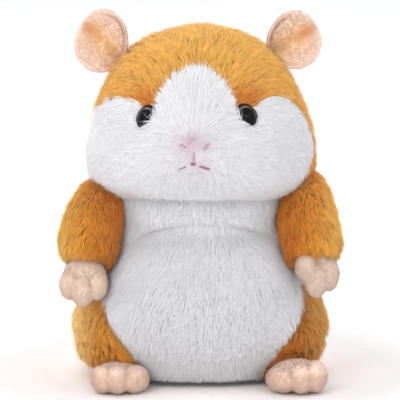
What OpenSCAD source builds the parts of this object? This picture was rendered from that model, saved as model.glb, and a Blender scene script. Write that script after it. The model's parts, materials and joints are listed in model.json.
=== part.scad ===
// Interactive plush pet: a stuffed hamster with a motor-driven nodding head.
// Origin: centre of the underside of the base plate. +Z up, the toy faces -Y.
// Left is -X and right is +X, as seen by someone facing the toy.

/* [Plush] */
// Thickness of the fur fabric skin
skin_t = 2.0; // [1.5:0.25:2.25]
// Diameter of each domed eye
eye_d = 10.2; // [9:0.2:11]
// Sideways place of each eye from the middle
eye_x = 23.2; // [22:0.2:24]
// Height of the eye centres
eye_z = 121; // [120:0.5:122]
// Diameter of each ear
ear_d = 27; // [24:0.2:28]
// Diameter of the palm of each paw
paw_d = 18.4; // [17:0.2:19]
// Length of each foot, heel to toes
foot_l = 29; // [26:0.5:30]

/* [Mechanism] */
// Height of the nod axle
axle_z = 79; // [78.8:0.1:79.2]
// Diameter of the nod axle
axle_d = 3.0; // [2.8:0.1:3]
// Distance from the nod axle down to the crank shaft
crank_drop = 30; // [29.8:0.1:30.2]
// Throw of the crank pin
crank_throw = 3.2; // [3.1:0.05:3.25]
// Diameter of the crank pin
pin_d = 3.0; // [2.8:0.1:3]
// Gear module
gear_module = 0.5; // [0.5:0.01:0.5]
// Teeth on each wheel
wheel_teeth = 36; // [36:1:36]
// Teeth on each pinion
pinion_teeth = 10; // [10:1:10]

/* [Electronics] */
// Diameter of the speaker
speaker_d = 28; // [26:0.5:28]
// Diameter of a battery
battery_d = 10.5; // [10:0.1:10.5]
// Length of a battery with its nub
battery_l = 44.5; // [44:0.1:44.5]
// Travel of the power switch knob
switch_travel = 2.0; // [1.5:0.1:2]

/* [Hidden] */

fur_orange = [0.84, 0.58, 0.22];
fur_white = [0.93, 0.93, 0.94];
paw_beige = [0.89, 0.78, 0.72];
case_grey = [0.35, 0.36, 0.38];

// Rings of the body skin, bottom to top: z, half width, half depth, centre y
BODY = [[1.5, 40, 37, -1], [6, 45.5, 40.5, -1.5], [12, 51.5, 44.5, -2], [20, 54, 47, -3],
    [29, 54, 48.5, -3.5], [38, 51, 47.5, -3.5], [47, 46.5, 44, -2.5], [56, 42.5, 40.5, -1.5],
    [64, 39.5, 36.5, -0.5], [69, 35.5, 32.5, 0], [72.5, 30, 27, 0], [73.5, 24, 21.5, 0]];
// Rings of the head skin, same columns, closed by a point at the crown
HEAD = [[79, 38, 34, -1], [82, 42, 38, -1.5], [87, 46.5, 41.5, -2], [94, 49, 43.5, -2.5],
    [102, 49, 43.5, -2.5], [110, 47.5, 43, -2], [119, 45, 41.5, -1.5], [128, 41.5, 39, -0.5],
    [136, 37.5, 36, 0.5], [143, 32, 32, 1], [149, 24, 25, 1.5], [153, 15, 16, 1.5],
    [155, 6.5, 7, 1.5]];
crown_z = 155.8;
// Cells each side of the front middle that are white, one entry per row of cells
BELLY = [7, 8, 8, 8, 8, 8, 8, 8, 8, 8, 8];
FACE = [8, 9, 9, 10, 10, 9, 3, 2, 1, 0, 0, 0];
ring_cells = 48;
squareness = 2.2; // exponent of a skin ring, 2 is an ellipse
muzzle_bulge = 5; // how far the muzzle swells forward
muzzle_z = 104;
muzzle_spread = [19, 12]; // across, up
stuffing_gap = 0.4;

// ---- ranges: each is [low, high] along one axis ----
function around(middle, half) = [middle - half, middle + half];
function grow(range, by) = [range[0] - by, range[1] + by];
// X range between two distances from the middle, on side -1 (left) or 1 (right)
function span(side, near, far) = [min(side * near, side * far), max(side * near, side * far)];

// ---- basic shapes ----
// Rounded blocks are sized [width, depth, corner radius]
function grow_block(size, by) = size + [2 * by, 2 * by, by];
module rounded_rect(w, d, corner) {
    square([w - 2 * corner, d], center = true);
    square([w, d - 2 * corner], center = true);
    for (x = [-1, 1]) for (y = [-1, 1])
        translate([x * (w / 2 - corner), y * (d / 2 - corner)]) circle(r = corner, $fn = 48);
}
module rounded_block(size, zs)
    translate([0, 0, zs[0]])
        linear_extrude(zs[1] - zs[0]) rounded_rect(size[0], size[1], size[2]);
module box(xs, ys, zs)
    translate([xs[0], ys[0], zs[0]]) cube([xs[1] - xs[0], ys[1] - ys[0], zs[1] - zs[0]]);
// Rod along X, centre given as [y, z]
module x_rod(xs, centre, radius)
    translate([xs[0], centre[0], centre[1]]) rotate([0, 90, 0])
        cylinder(r = radius, h = xs[1] - xs[0], $fn = 48);
// Rod along Z, centre given as [x, y]
module z_rod(centre, zs, radius)
    translate([centre[0], centre[1], zs[0]]) cylinder(r = radius, h = zs[1] - zs[0], $fn = 48);
// Flat shape in Y and Z, thickened along X
module thick_x(xs)
    translate([xs[0], 0, 0]) rotate([90, 0, 90]) linear_extrude(xs[1] - xs[0]) children();

// ---- surfaces made of rings of points ----
function signed_pow(value, power) = sign(value) * pow(abs(value), power);
// Point on a ring moved in by inset; cell edge 0 is the middle of the front
function ring_point(ring, j, inset, bulge) = let (
    angle = -90 + j * 360 / ring_cells,
    across = signed_pow(cos(angle), 2 / squareness),
    along = signed_pow(sin(angle), 2 / squareness),
    x = (ring[1] - inset) * across,
    y = ring[3] + (ring[2] - inset) * along,
    swell = along < 0 ? bulge * exp(-pow((ring[0] - muzzle_z) / muzzle_spread[1], 2)
        - pow(x / muzzle_spread[0], 2)) : 0)
    [x, y - swell, ring[0]];
function ring_points(rings, inset, bulge) =
    [for (ring = rings) for (j = [0:ring_cells - 1]) ring_point(ring, j, inset, bulge)];
function point_id(i, j, cells) = i * cells + j % cells;
// Cell (i, j) lies between rings i and i+1 and between edges j and j+1
function cell_faces(i, j, cells) = let (
    start = point_id(i, j, cells), far = point_id(i + 1, j + 1, cells))
    [[start, point_id(i + 1, j, cells), far], [start, far, point_id(i, j + 1, cells)]];
function in_front(reach, i, j) = let (
    k = (j + ring_cells) % ring_cells,
    from_middle = min(k + 0.5, ring_cells - k - 0.5))
    i >= 0 && i < len(reach) && from_middle < reach[i];
// Edge wall from outer points a, b to the inner points, which come count later.
// The diagonal depends on the order, so walls that meet share it.
function edge_wall(a, b, count) = a < b
    ? [[a, count + b, b], [a, count + a, count + b]]
    : [[a, count + a, b], [count + a, count + b, b]];

// Thin skin over the cells of one panel: the front one, or all the rest.
// A rest panel with top > 0 is closed by a point at that height.
module skin_panel(rings, bulge, reach, front, top) {
    last = len(rings) - 1;
    count = len(rings) * ring_cells;
    centre_y = rings[last][3];
    capped = top > 0 && !front;
    points = concat(ring_points(rings, 0, bulge), ring_points(rings, skin_t, bulge),
        [[0, centre_y, top], [0, centre_y, top - skin_t]]);
    function on(i, j) = i >= 0 && i < last && (in_front(reach, i, j) == front);
    function id(i, j) = point_id(i, j, ring_cells);
    function wall(i1, j1, i2, j2) = edge_wall(id(i1, j1), id(i2, j2), count);
    cells = [for (i = [0:last - 1]) for (j = [0:ring_cells - 1]) if (on(i, j)) [i, j]];
    outer = [for (c = cells) each cell_faces(c[0], c[1], ring_cells)];
    inner = [for (face = outer) [count + face[0], count + face[2], count + face[1]]];
    below = [for (c = cells) let (i = c[0], j = c[1])
        if (!on(i - 1, j)) each wall(i, j + 1, i, j)];
    above = [for (c = cells) let (i = c[0], j = c[1])
        if (!on(i + 1, j) && !(capped && i == last - 1)) each wall(i + 1, j, i + 1, j + 1)];
    start = [for (c = cells) let (i = c[0], j = c[1])
        if (!on(i, j - 1)) each wall(i, j, i + 1, j)];
    end = [for (c = cells) let (i = c[0], j = c[1])
        if (!on(i, j + 1)) each wall(i + 1, j + 1, i, j + 1)];
    cap = capped ? [for (j = [0:ring_cells - 1]) each [
        [id(last, j), 2 * count, id(last, j + 1)],
        [count + id(last, j), count + id(last, j + 1), 2 * count + 1]]] : [];
    polyhedron(points, concat(outer, inner, below, above, start, end, cap));
}

// Solid from rings of points, with the bottom and top end points last in the list
module closed_form(points, cells) {
    count = len(points) - 2;
    last = count / cells - 1;
    function id(i, j) = point_id(i, j, cells);
    polyhedron(points, concat(
        [for (i = [0:last - 1]) for (j = [0:cells - 1]) each cell_faces(i, j, cells)],
        [for (j = [0:cells - 1]) [id(0, j), id(0, j + 1), count]],
        [for (j = [0:cells - 1]) [id(last, j + 1), id(last, j), count + 1]]));
}

// Ring at any height between two listed rings
function ring_at(rings, z) = let (
    k = [for (i = [0:len(rings) - 2]) if (z >= rings[i][0] && z <= rings[i + 1][0]) i][0],
    share = (z - rings[k][0]) / (rings[k + 1][0] - rings[k][0]))
    rings[k] * (1 - share) + rings[k + 1] * share;
// Closed filling that sits inside a skin, its end rings drawn in a little
module filling(rings, bulge, low, high) {
    used = concat([ring_at(rings, low) - [0, 0.6, 0.6, 0]],
        [for (ring = rings) if (ring[0] > low + 0.5 && ring[0] < high - 0.5) ring],
        [ring_at(rings, high) - [0, 1, 1, 0]]);
    closed_form(concat(ring_points(used, skin_t + stuffing_gap, bulge),
        [[0, used[0][3], low], [0, used[len(used) - 1][3], high]]), ring_cells);
}

// Rounded form of given half sizes with soft bumps, each [direction, height share, spread]
function total(values, i = 0) = i < len(values) ? values[i] + total(values, i + 1) : 0;
function blob_point(half, bumps, turn, rise) = let (
    dir = [cos(rise) * cos(turn), cos(rise) * sin(turn), sin(rise)],
    gain = 1 + total([for (b = bumps) b[1] * exp(-pow(norm(dir - b[0]) / b[2], 2))]))
    [half[0] * dir[0] * gain, half[1] * dir[1] * gain, half[2] * dir[2] * gain];
module blob(half, bumps) {
    cells = 36;
    rows = 14;
    closed_form(concat(
        [for (i = [1:rows - 1]) for (j = [0:cells - 1])
            blob_point(half, bumps, j * 360 / cells, -90 + i * 180 / rows)],
        [blob_point(half, bumps, 0, -90), blob_point(half, bumps, 0, 90)]), cells);
}

// ---- plush body ----
case_size = [58, 50, 8];
case_top_z = 61;
ring_size = [64.4, 56.4, 18.6];
arm_centre = [48.6, -20.5, 64.8];
paw_centre = [52.6, -33.5, 48.6];
toe_bumps = [[[-0.62, -0.78, 0], 0.14, 0.3], [[0, -1, 0], 0.12, 0.3], [[0.62, -0.78, 0], 0.14, 0.3]];

function on_side(side, point) = [side * point[0], point[1], point[2]];

module body_fur() color(fur_orange) skin_panel(BODY, 0, BELLY, false, 0);
module belly_fur() color(fur_white) skin_panel(BODY, 0, BELLY, true, 0);
module body_stuffing() color("ivory") difference() {
    filling(BODY, 0, 3.6, 71);
    rounded_block(grow_block(ring_size, stuffing_gap), [0, 5.4]);
    rounded_block(grow_block(case_size, stuffing_gap), [0, case_top_z + stuffing_gap]);
    rounded_block([30, 19, 4], [60, 80]);
}
// Arm with a hollow for the palm and a square cut below it
module arm(side) color(fur_orange) difference() {
    translate(on_side(side, arm_centre)) rotate([0, 0, side * 29.2]) rotate([-44.3, 0, 0])
        scale([11.6, 11.6, 19]) sphere(r = 1, $fn = 40);
    translate(on_side(side, paw_centre)) sphere(d = paw_d + 0.8, $fn = 48);
    translate(on_side(side, paw_centre) - [0, 0, 16]) cube([30, 30, 16], center = true);
}
module arm_left() arm(-1);
module arm_right() arm(1);
// Palm with three toes
module paw(side) color(paw_beige) translate(on_side(side, paw_centre)) {
    rotate([90, 0, 20]) sphere(d = paw_d, $fn = 48);
    for (k = [-1, 0, 1])
        translate([k * 5.6 - 0.4, -3.4, -5.2 + abs(k) * 1.25 + k * 0.1])
            rotate([60, 35 * k, 0]) sphere(r = 4.3, $fn = 36);
}
module paw_left() paw(-1);
module paw_right() paw(1);
module foot(side) color(paw_beige)
    translate([side * 39, -47, 6.9]) rotate([0, 0, side * 6])
        blob([12.4, foot_l / 2 - 0.8, 6.4], toe_bumps);
module foot_left() foot(-1);
module foot_right() foot(1);
// Clamp ring that traps the edge of the skin above the base flange
module base_ring() color(case_grey) difference() {
    rounded_block(ring_size, [2.9, 5]);
    rounded_block([58.5, 50.5, 8.2], [0, 8]);
}

// ---- case ----
case_wall = 2;
case_split_z = 16;
case_top_foot_z = case_split_z + 0.05;
bay_y = 	[-19.7, 16.7];
bay_x = [-25.2, 25.2];
bay_mid_y = (bay_y[0] + bay_y[1]) / 2;
door_screw_xy = [27.2, bay_mid_y];
switch_y = 20.4;
speaker_z = 38;
mic_x = 18;
mic_z = 52;
front_parts_y = -22.9; // front face of the speaker and microphone
// Screw posts: x, y, top z
posts = [[-18, -21.9, 23.5], [18, -21.9, 23.5], [-20, 20.6, 30], [20, 20.6, 30]];

module case_base() color(case_grey) difference() {
    union() {
        rounded_block(case_size, [0, case_split_z]);
        rounded_block([66, 58, 20], [0, 2.6]); // base flange
    }
    // battery bay, its floor opening and the door recess
    box(bay_x, bay_y, [3, 14.5]);
    box(around(0, 23.5), grow(bay_y, -1.5), [-1, 4]);
    box(bay_x, bay_y, [-1, 2.4]);
    // door tongue and screw
    box([bay_x[1] - 1, 30.5], around(bay_mid_y, 4.7), [-1, 2.4]);
    z_rod(door_screw_xy, [2, 8], 1.2);
    // switch pocket, knob slot and finger recess
    box(around(0, 12), [18.2, 23], [2.5, 17]);
    box(around(0, 3.2), around(switch_y, 1.2), [-1, 3]);
    box(around(0, 5.2), around(switch_y, 2.8), [-1, 1.2]);
    for (post = posts) {
        z_rod(post, [-1, 17], 1.25);
        z_rod(post, [-1, 5.5], 2.3);
    }
}
// Round hole through the front wall of the case
module front_hole(x, z, radius, sides)
    translate([x, -20, z]) rotate([90, 0, 0]) cylinder(r = radius, h = 10, $fn = sides);
module case_top() color("silver") difference() {
    union() {
        difference() {
            rounded_block(case_size, [case_top_foot_z, case_top_z]);
            rounded_block(grow_block(case_size, -case_wall),
                [case_split_z, case_top_z - case_wall]);
        }
        intersection() {
            rounded_block(grow_block(case_size, -case_wall / 2), [case_top_foot_z, 60]);
            for (post = posts) z_rod(post, [case_top_foot_z, post[2]], 2.6);
        }
    }
    for (post = posts) z_rod(post, [15, post[2] - 1.5], 1.05);
    front_hole(0, speaker_z, 12, 64);
    box(around(0, 13), around(0, 8.5), [58, 62]); // opening for the gearbox neck
    front_hole(mic_x, mic_z, 0.8, 24);
}
module case_screws() color("silver") for (post = posts) {
    z_rod(post, [3.6, 5.4], 2.1);
    z_rod(post, [5.4, post[2] - 2], 0.98);
}

// ---- gearbox: places are [y, z], the shafts run along X ----
axle_at = [0, axle_z];
crank_z = axle_z - crank_drop;
crank_at = [0, crank_z];
gear_spacing = gear_module * (wheel_teeth + pinion_teeth) / 2;
// Direction from each wheel to the pinion that drives it
gear_2_dir = -20;
gear_1_dir = -100;
motor_dir = 190;
function next_shaft(from, dir) = from + gear_spacing * [cos(dir), sin(dir)];
gear_2_at = next_shaft(crank_at, gear_2_dir);
gear_1_at = next_shaft(gear_2_at, gear_1_dir);
motor_at = next_shaft(gear_1_at, motor_dir);
spacers = [[-11, 55.4], [15.5, 21.6], [-10, 20.2], [16.2, 55.4]];
plate_y = [-14, 19];
plate_near = 9.25; // inner and outer faces of each plate, from the middle
plate_far = 11.25;
shaft_r = 0.75;
bore_r = 0.8;
motor_size = [20, 15]; // across the round sides, across the flats

module plate_shape() {
    translate([plate_y[0], 16.2]) square([plate_y[1] - plate_y[0], 42.4]);
    translate([-6, 50]) square([12, axle_z - 50]);
    translate(axle_at) circle(r = 6, $fn = 48);
}
module plate_holes(shafts) {
    translate(axle_at) circle(r = axle_d / 2 + 0.02, $fn = 48);
    for (place = spacers) translate(place) circle(r = 1.1, $fn = 32);
    for (place = shafts) translate(place) circle(r = shaft_r + 0.02, $fn = 32);
}
module gearbox_plate_left() color("silver") thick_x(span(-1, plate_near, plate_far)) difference() {
    plate_shape();
    plate_holes([gear_2_at, gear_1_at]);
    let (opening = motor_size + [0.4, 0.4]) translate(motor_at - opening / 2) square(opening);
}
module gearbox_plate_right() color("silver") thick_x(span(1, plate_near, plate_far)) difference() {
    plate_shape();
    plate_holes([gear_2_at, gear_1_at, crank_at]);
}
module gearbox_spacers() color("white") for (place = spacers) difference() {
    x_rod(around(0, 9.2), place, 2.3);
    x_rod([-9.5, -3], place, 0.9);
    x_rod([3, 9.5], place, 0.9);
}
module gearbox_screws() color("dimgray") for (place = spacers) for (side = [-1, 1]) {
    x_rod(span(side, 11.3, 12.5), place, 1.9);
    x_rod(span(side, 4, 11.4), place, 0.85);
}
module gear_shafts() color("silver") {
    for (place = [gear_2_at, gear_1_at]) x_rod(around(0, 11.2), place, shaft_r);
    x_rod([-2.7, 11.2], crank_at, shaft_r);
}
module nod_axle() color("silver") x_rod(around(0, 16.6), axle_at, axle_d / 2);
module axle_clips() color("dimgray") for (side = [-1, 1]) difference() {
    x_rod(span(side, 15.2, 16), axle_at, 3.6);
    x_rod(around(0, 17), axle_at, axle_d / 2 + 0.02);
}

// Involute gears, 20 degree pressure angle; half_angle is that of a tooth at radius r
pressure = 20;
backlash = 0.1;
function involute(angle) = tan(angle) - angle * PI / 180;
function half_angle(r, base_r, pitch_half) =
    pitch_half + (involute(pressure) - involute(acos(min(1, base_r / max(r, base_r))))) * 180 / PI;
module gear_outline(teeth, shift, phase) {
    pitch_r = gear_module * teeth / 2;
    base_r = pitch_r * cos(pressure);
    tip_r = pitch_r + gear_module * (0.9 + shift);
    root_r = pitch_r - gear_module * (1.25 - shift);
    tooth = gear_module * (PI / 2 + 2 * shift * tan(pressure)) - backlash;
    pitch_half = tooth / (2 * pitch_r) * 180 / PI;
    flank_r = max(base_r, root_r + 0.05);
    radii = [root_r, flank_r, (flank_r + tip_r) / 2, tip_r];
    function flank_point(r, middle, side) =
        let (angle = middle + side * half_angle(r, base_r, pitch_half))
        [r * cos(angle), r * sin(angle)];
    polygon([for (k = [0:teeth - 1]) let (middle = phase + 360 * k / teeth) each concat(
        [for (r = radii) flank_point(r, middle, -1)],
        [for (i = [3:-1:0]) flank_point(radii[i], middle, 1)])]);
}
// Phase of the wheel that meshes with a pinion of phase 0 lying in direction dir
function mesh_phase(dir) = let (
    turns = (dir + 180) / (360 / pinion_teeth),
    share = 0.5 - (turns - floor(turns)))
    dir - 360 / wheel_teeth * share;
module gear(xs, place, teeth, shift, phase)
    translate([xs[0], place[0], place[1]]) rotate([90, 0, 90])
        linear_extrude(xs[1] - xs[0]) gear_outline(teeth, shift, phase);
module wheel(xs, place, driver_dir) gear(xs, place, wheel_teeth, -0.2, mesh_phase(driver_dir));
module pinion(xs, place) gear(xs, place, pinion_teeth, 0.2, 0);

module crank_gear() color("ivory") difference() {
    union() {
        wheel([-3.25, -0.25], crank_at, gear_2_dir);
        x_rod([-0.3, 8.9], crank_at, 1.9);
        x_rod([-8.2, -3], crank_at - [0, crank_throw], pin_d / 2);
    }
    x_rod([-2.75, 12], crank_at, bore_r);
}
module gear_2() color("ivory") difference() {
    union() {
        pinion([-3.25, 0.9], gear_2_at);
        wheel([0.75, 3.25], gear_2_at, gear_1_dir);
        x_rod([3.1, 9.1], gear_2_at, 1.6);
        x_rod([-9.1, -3.1], gear_2_at, 1.6);
    }
    x_rod(around(0, 12), gear_2_at, bore_r);
}
module gear_1() color("ivory") difference() {
    union() {
        pinion([0.85, 4.9], gear_1_at);
        wheel([4.75, 7.25], gear_1_at, motor_dir);
        x_rod([7.1, 9.1], gear_1_at, 1.6);
    }
    x_rod(around(0, 12), gear_1_at, bore_r);
}
module motor_rotor() color("silver") {
    x_rod([1.9, 8.6], motor_at, shaft_r);
    pinion([4.75, 7.75], motor_at);
}
// Flat-sided can with a front boss and two rear terminals
module motor_can() color("silver") difference() {
    union() {
        thick_x([-24.75, 0.25]) intersection() {
            translate(motor_at) circle(r = motor_size[0] / 2, $fn = 64);
            translate(motor_at - motor_size / 2) square(motor_size);
        }
        x_rod([0.2, 1.7], motor_at, 3);
        for (k = [-1, 1])
            box([-26, -24.7], around(motor_at[0] + k * 6, 0.8), around(motor_at[1], 0.2));
    }
    x_rod([0, 3], motor_at, 0.82);
}

// ---- batteries and electronics ----
battery_z = 8.5;
battery_pitch = 11.1;
board_face_x = 24.68; // where the parts end, just clear of the board
wire_r = 0.6;
wire_paths = [
    [[-26, -2.5, 35], [-26, -2.5, 57.4], [-26, -17, 57.4], [21, -17, 57.4], [21, -9, 57.4],
        [21, -9, 50], [23.9, -9, 48]],
    [[3, 20.6, 7.2], [3, 20.6, 17.2], [15, 20.6, 17.2], [15, 12, 17.2], [22, 12, 17.2],
        [22, 12, 22], [24, 12, 22]]];

// row: -1 front, 0 middle, 1 rear
module at_battery(row) translate([0, bay_mid_y + row * battery_pitch, battery_z]) children();
// The nub points to the given side
module battery(row, side) color("goldenrod") at_battery(row) scale([side, 1, 1]) {
    translate([-battery_l / 2, 0, 0]) rotate([0, 90, 0])
        cylinder(d = battery_d, h = battery_l - 1, $fn = 48);
    rotate([0, 90, 0]) cylinder(r = 1.9, h = battery_l / 2, $fn = 32);
}
module battery_front() battery(-1, 1);
module battery_middle() battery(0, -1);
module battery_rear() battery(1, 1);
// Plate with a ringed stud for each battery
module contacts(side) color("silver") {
    box(span(side, 24.7, 25.1), grow(bay_y, -1.2), [3.6, 13.6]);
    for (row = [-1, 0, 1]) at_battery(row) rotate([0, side * 90, 0]) {
        translate([0, 0, 22.35]) cylinder(r = 1.7, h = 2.4, $fn = 32);
        for (k = [0:2]) translate([0, 0, 22.8 + k * 0.75])
            rotate_extrude($fn = 32) translate([1.7 + k * 0.35, 0]) circle(r = 0.3, $fn = 16);
    }
}
module battery_contacts_left() contacts(-1);
module battery_contacts_right() contacts(1);
module circuit_board() color("darkgreen") box([24.7, 26.3], around(0, 15.5), [19, 56]);
// Two square parts, two round ones and a row of five small ones
module board_parts() color("black") {
    box([23.4, board_face_x], around(0, 5), [36, 46]);
    box([23.7, board_face_x], [-12, -7], [24, 28]);
    for (k = [0, 1]) x_rod([18.6, board_face_x], [9.5, 27 + 9 * k], 2.9);
    for (k = [0:4]) box([24.1, board_face_x], [-11 + 4 * k, -9 + 4 * k], [50, 51.2]);
}
// Frame whose +Z runs back into the case from its front wall
module at_front(x, z) translate([x, front_parts_y, z]) rotate([-90, 0, 0]) children();
module microphone() color("silver") at_front(mic_x, mic_z) cylinder(r = 3, h = 2.4, $fn = 40);
// Speaker profiles: radius, depth behind the front
module speaker_frame() color("gray") at_front(0, speaker_z) rotate_extrude($fn = 72)
    polygon([[12.8, 0], [speaker_d / 2, 0], [speaker_d / 2, 1.6], [9.6, 6], [7.7, 6], [7.7, 5.2],
        [9, 5.2], [12.8, 1.2]]);
module speaker_magnet() color("dimgray") at_front(0, speaker_z)
    translate([0, 0, 6.05]) cylinder(r = 8.6, h = 3.4, $fn = 64);
module speaker_cone() color("black") at_front(0, speaker_z) rotate_extrude($fn = 72)
    polygon([[0, 3.3], [3.6, 3.7], [12.1, 0.6], [12.1, 1.1], [3.8, 4.3], [0, 3.9]]);
module switch_body() color("silver") difference() {
    box(around(0, 4.4), [18.7, 22.5], [2.7, 6.4]);
    box(around(0, 2.6), around(switch_y, 1), [2, 4.2]);
}
// Knob at the left end of its travel
module switch_knob() color("black")
    box(around(-switch_travel / 2, 0.9), around(switch_y, 0.8), [0.35, 4.0]);
module wire(path) for (k = [0:len(path) - 2]) {
    run = path[k + 1] - path[k];
    translate(path[k]) sphere(r = wire_r, $fn = 16);
    translate(path[k]) rotate([0, acos(run[2] / norm(run)), atan2(run[1], run[0])])
        cylinder(r = wire_r, h = norm(run), $fn = 16);
    if (k == len(path) - 2) translate(path[k + 1]) sphere(r = wire_r, $fn = 16);
}
module wires() color("red") {
    wire(wire_paths[0]);
    wire(wire_paths[1]);
}

// ---- battery door ----
module battery_door() color(case_grey) difference() {
    union() {
        box(around(0, 25), grow(bay_y, -0.2), [0.4, 2.2]);
        box([24, 30.3], around(bay_mid_y, 4.5), [0.4, 2.2]);
        for (x = [-23.2, 21.9]) for (y = [-12, 4]) box([x, x + 1.3], [y, y + 6], [2.1, 2.85]);
    }
    z_rod(door_screw_xy, [0, 3], 1.3);
    z_rod(door_screw_xy, [0, 1.5], 2.4);
}
// Cross-slotted screw
module door_screw() color("silver") difference() {
    union() {
        z_rod(door_screw_xy, [0.5, 1.45], 2.1);
        z_rod(door_screw_xy, [1.4, 7], 1.0);
    }
    for (half = [[1.6, 0.25], [0.25, 1.6]])
        box(around(door_screw_xy[0], half[0]), around(door_screw_xy[1], half[1]), [0, 1]);
}

// ---- head ----
// Frame on the face at each eye, +Z pointing out
module at_eye(side)
    translate([side * eye_x, -38.35, eye_z]) rotate([0, 0, side * 22])
        rotate([-7, 0, 0]) rotate([90, 0, 0]) children();
// Cylinder on the eye axis from depth z
module eye_rod(z, h, radius, sides) translate([0, 0, z]) cylinder(r = radius, h = h, $fn = sides);
module head_panel(front) difference() {
    skin_panel(HEAD, muzzle_bulge, FACE, front, front ? 0 : crown_z);
    for (side = [-1, 1]) at_eye(side) eye_rod(-16, 24, 1.8, 32);
}
module head_fur() color(fur_orange) head_panel(false);
module face_fur() color(fur_white) head_panel(true);
// Stuffing with room for the frame, the eye stems and the washers
module head_stuffing() color("ivory") difference() {
    filling(HEAD, muzzle_bulge, 81, 151.5);
    z_rod([0, 0], [70, 89.6], 28);
    z_rod([0, 0], [80, 121.4], 10.6);
    for (side = [-1, 1]) at_eye(side) {
        eye_rod(-14.2, 14, 1.9, 32);
        eye_rod(-7.6, 9.4, 6.7, 40);
    }
}
// Ears are cupped discs: rounded back, dished front
ear_r = ear_d / 2;
module at_ear(side)
    translate([side * 43.4, 1, 151]) rotate([0, 0, side * 10]) rotate([90, 0, 0]) children();
function arc(radius, depth, from, to) =
    [for (k = [0:10]) let (angle = from + (to - from) * k / 10)
        [radius * cos(angle), depth * sin(angle)]];
module ear(side) color([0.9, 0.72, 0.6]) at_ear(side) rotate_extrude($fn = 64)
    polygon(concat(arc(ear_r, 5, -90, 0), [[ear_r - 0.5, 1.2], [ear_r - 1.4, 1.2]],
        arc(ear_r - 2.2, 3.6, 0, -90)));
module ear_lining(side) color([0.92, 0.7, 0.5]) at_ear(side) rotate_extrude($fn = 64)
    polygon(concat(arc(ear_r - 2.5, 3.3, -90, 0), arc(ear_r - 3.6, 2.3, 0, -90)));
module ear_left() ear(-1);
module ear_right() ear(1);
module ear_lining_left() ear_lining(-1);
module ear_lining_right() ear_lining(1);
// Domed eye with the stem that passes through the skin to its lock washer
module eye(side) color("black") at_eye(side) {
    translate([0, 0, 0.75]) intersection() {
        translate([0, 0, -0.9]) sphere(d = eye_d, $fn = 64);
        cylinder(r = 8, h = 8, $fn = 64);
    }
    eye_rod(-12, 13, 1.5, 40);
}
module eye_left() eye(-1);
module eye_right() eye(1);
module eye_washers() color("white") for (side = [-1, 1]) at_eye(side) difference() {
    eye_rod(-6.6, 1, 6, 48);
    eye_rod(-7.6, 3, 1.52, 40);
}
// Embroidery outlines: x, distance down
module nose_embroidery() color([0.85, 0.6, 0.58])
    translate([0, -51.4, 108.4]) rotate([-90, 0, 0]) linear_extrude(3)
        polygon([[-6, -2.4], [0, -1.2], [6, -2.4], [4.6, 0.6], [1, 3.2], [-1, 3.2], [-4.6, 0.6]]);
module mouth_embroidery() color([0.7, 0.35, 0.37])
    translate([0, -52.2, 102]) rotate([-90, 0, 0]) linear_extrude(3.2) {
        translate([-0.6, -3]) square([1.2, 5]);
        for (side = [-1, 1]) translate([0, 1.2]) rotate([0, 0, 90 - side * 70])
            translate([-0.6, 0]) square([1.2, 0.1]);
        for (side = [-1, 1]) polygon([[0, 0.8], [side * 7, 3], [side * 6.6, 4.2], [0, 2]]);
    }

// ---- head frame and lever ----
hub_r = 4.5;
axle_bore_r = axle_d / 2 + 0.06;
lever_x = [-7.75, -4.75];
lever_low_z = crank_z - 4.4; // centre of the round lower end
slot_z = [crank_z - 3.6, crank_z + 0.2];
slot_r = 2;
head_screw_xy = [for (y = [-8, 8]) [-4.5, y]];
module head_screw_holes(top) for (place = head_screw_xy) z_rod(place, [80, top], 1.2);

// Frame inside the head: round plate, hollow spine and two hubs on the nod axle
module head_frame() color("silver") difference() {
    union() {
        z_rod([0, 0], [86.5, 89.2], 26);
        z_rod([0, 0], [86.5, 121], 10);
        for (side = [-1, 1]) box(span(side, 11.6, 14.9), around(0, hub_r), [axle_z, 87]);
        for (side = [-1, 1]) x_rod(span(side, 11.6, 14.9), axle_at, hub_r);
    }
    z_rod([0, 0], [89, 118.6], 8.2);
    x_rod(around(0, 20), axle_at, axle_bore_r);
    head_screw_holes(92);
}
// Slotted lever that the crank pin swings
module head_lever() color("ivory") difference() {
    union() {
        thick_x(lever_x) union() {
            translate([-4.5, lever_low_z]) square([9, 86.2 - lever_low_z]);
            translate([0, lever_low_z]) circle(r = 4.5, $fn = 48);
            translate(axle_at) circle(r = 5, $fn = 48);
        }
        box([lever_x[0], -1.2], around(0, 11), [84.4, 86.4]);
    }
    x_rod([-9, -3], axle_at, axle_bore_r);
    thick_x([-9, -3]) union() {
        translate([-slot_r, slot_z[0]]) square([2 * slot_r, slot_z[1] - slot_z[0]]);
        for (z = slot_z) translate([0, z]) circle(r = slot_r, $fn = 40);
    }
    head_screw_holes(90);
}
module head_screws() color("dimgray") for (place = head_screw_xy) {
    z_rod(place, [82.9, 84.35], 2.1);
    z_rod(place, [84.3, 89], 1.1);
}

body_fur();
belly_fur();
body_stuffing();
arm_left();
arm_right();
paw_left();
paw_right();
foot_left();
foot_right();
base_ring();
case_base();
case_top();
case_screws();
gearbox_plate_left();
gearbox_plate_right();
gearbox_spacers();
gearbox_screws();
gear_shafts();
motor_can();
battery_front();
battery_middle();
battery_rear();
battery_contacts_left();
battery_contacts_right();
circuit_board();
board_parts();
microphone();
speaker_frame();
speaker_magnet();
speaker_cone();
switch_body();
switch_knob();
wires();
battery_door();
door_screw();
head_fur();
face_fur();
head_stuffing();
ear_left();
ear_right();
ear_lining_left();
ear_lining_right();
eye_left();
eye_right();
eye_washers();
nose_embroidery();
mouth_embroidery();
head_frame();
head_lever();
head_screws();
nod_axle();
axle_clips();
crank_gear();
gear_2();
gear_1();
motor_rotor();
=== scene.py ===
"""Looks of the nodding plush hamster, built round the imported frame. Lengths in this file are millimetres until a mesh is made."""

import json
import math

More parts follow.
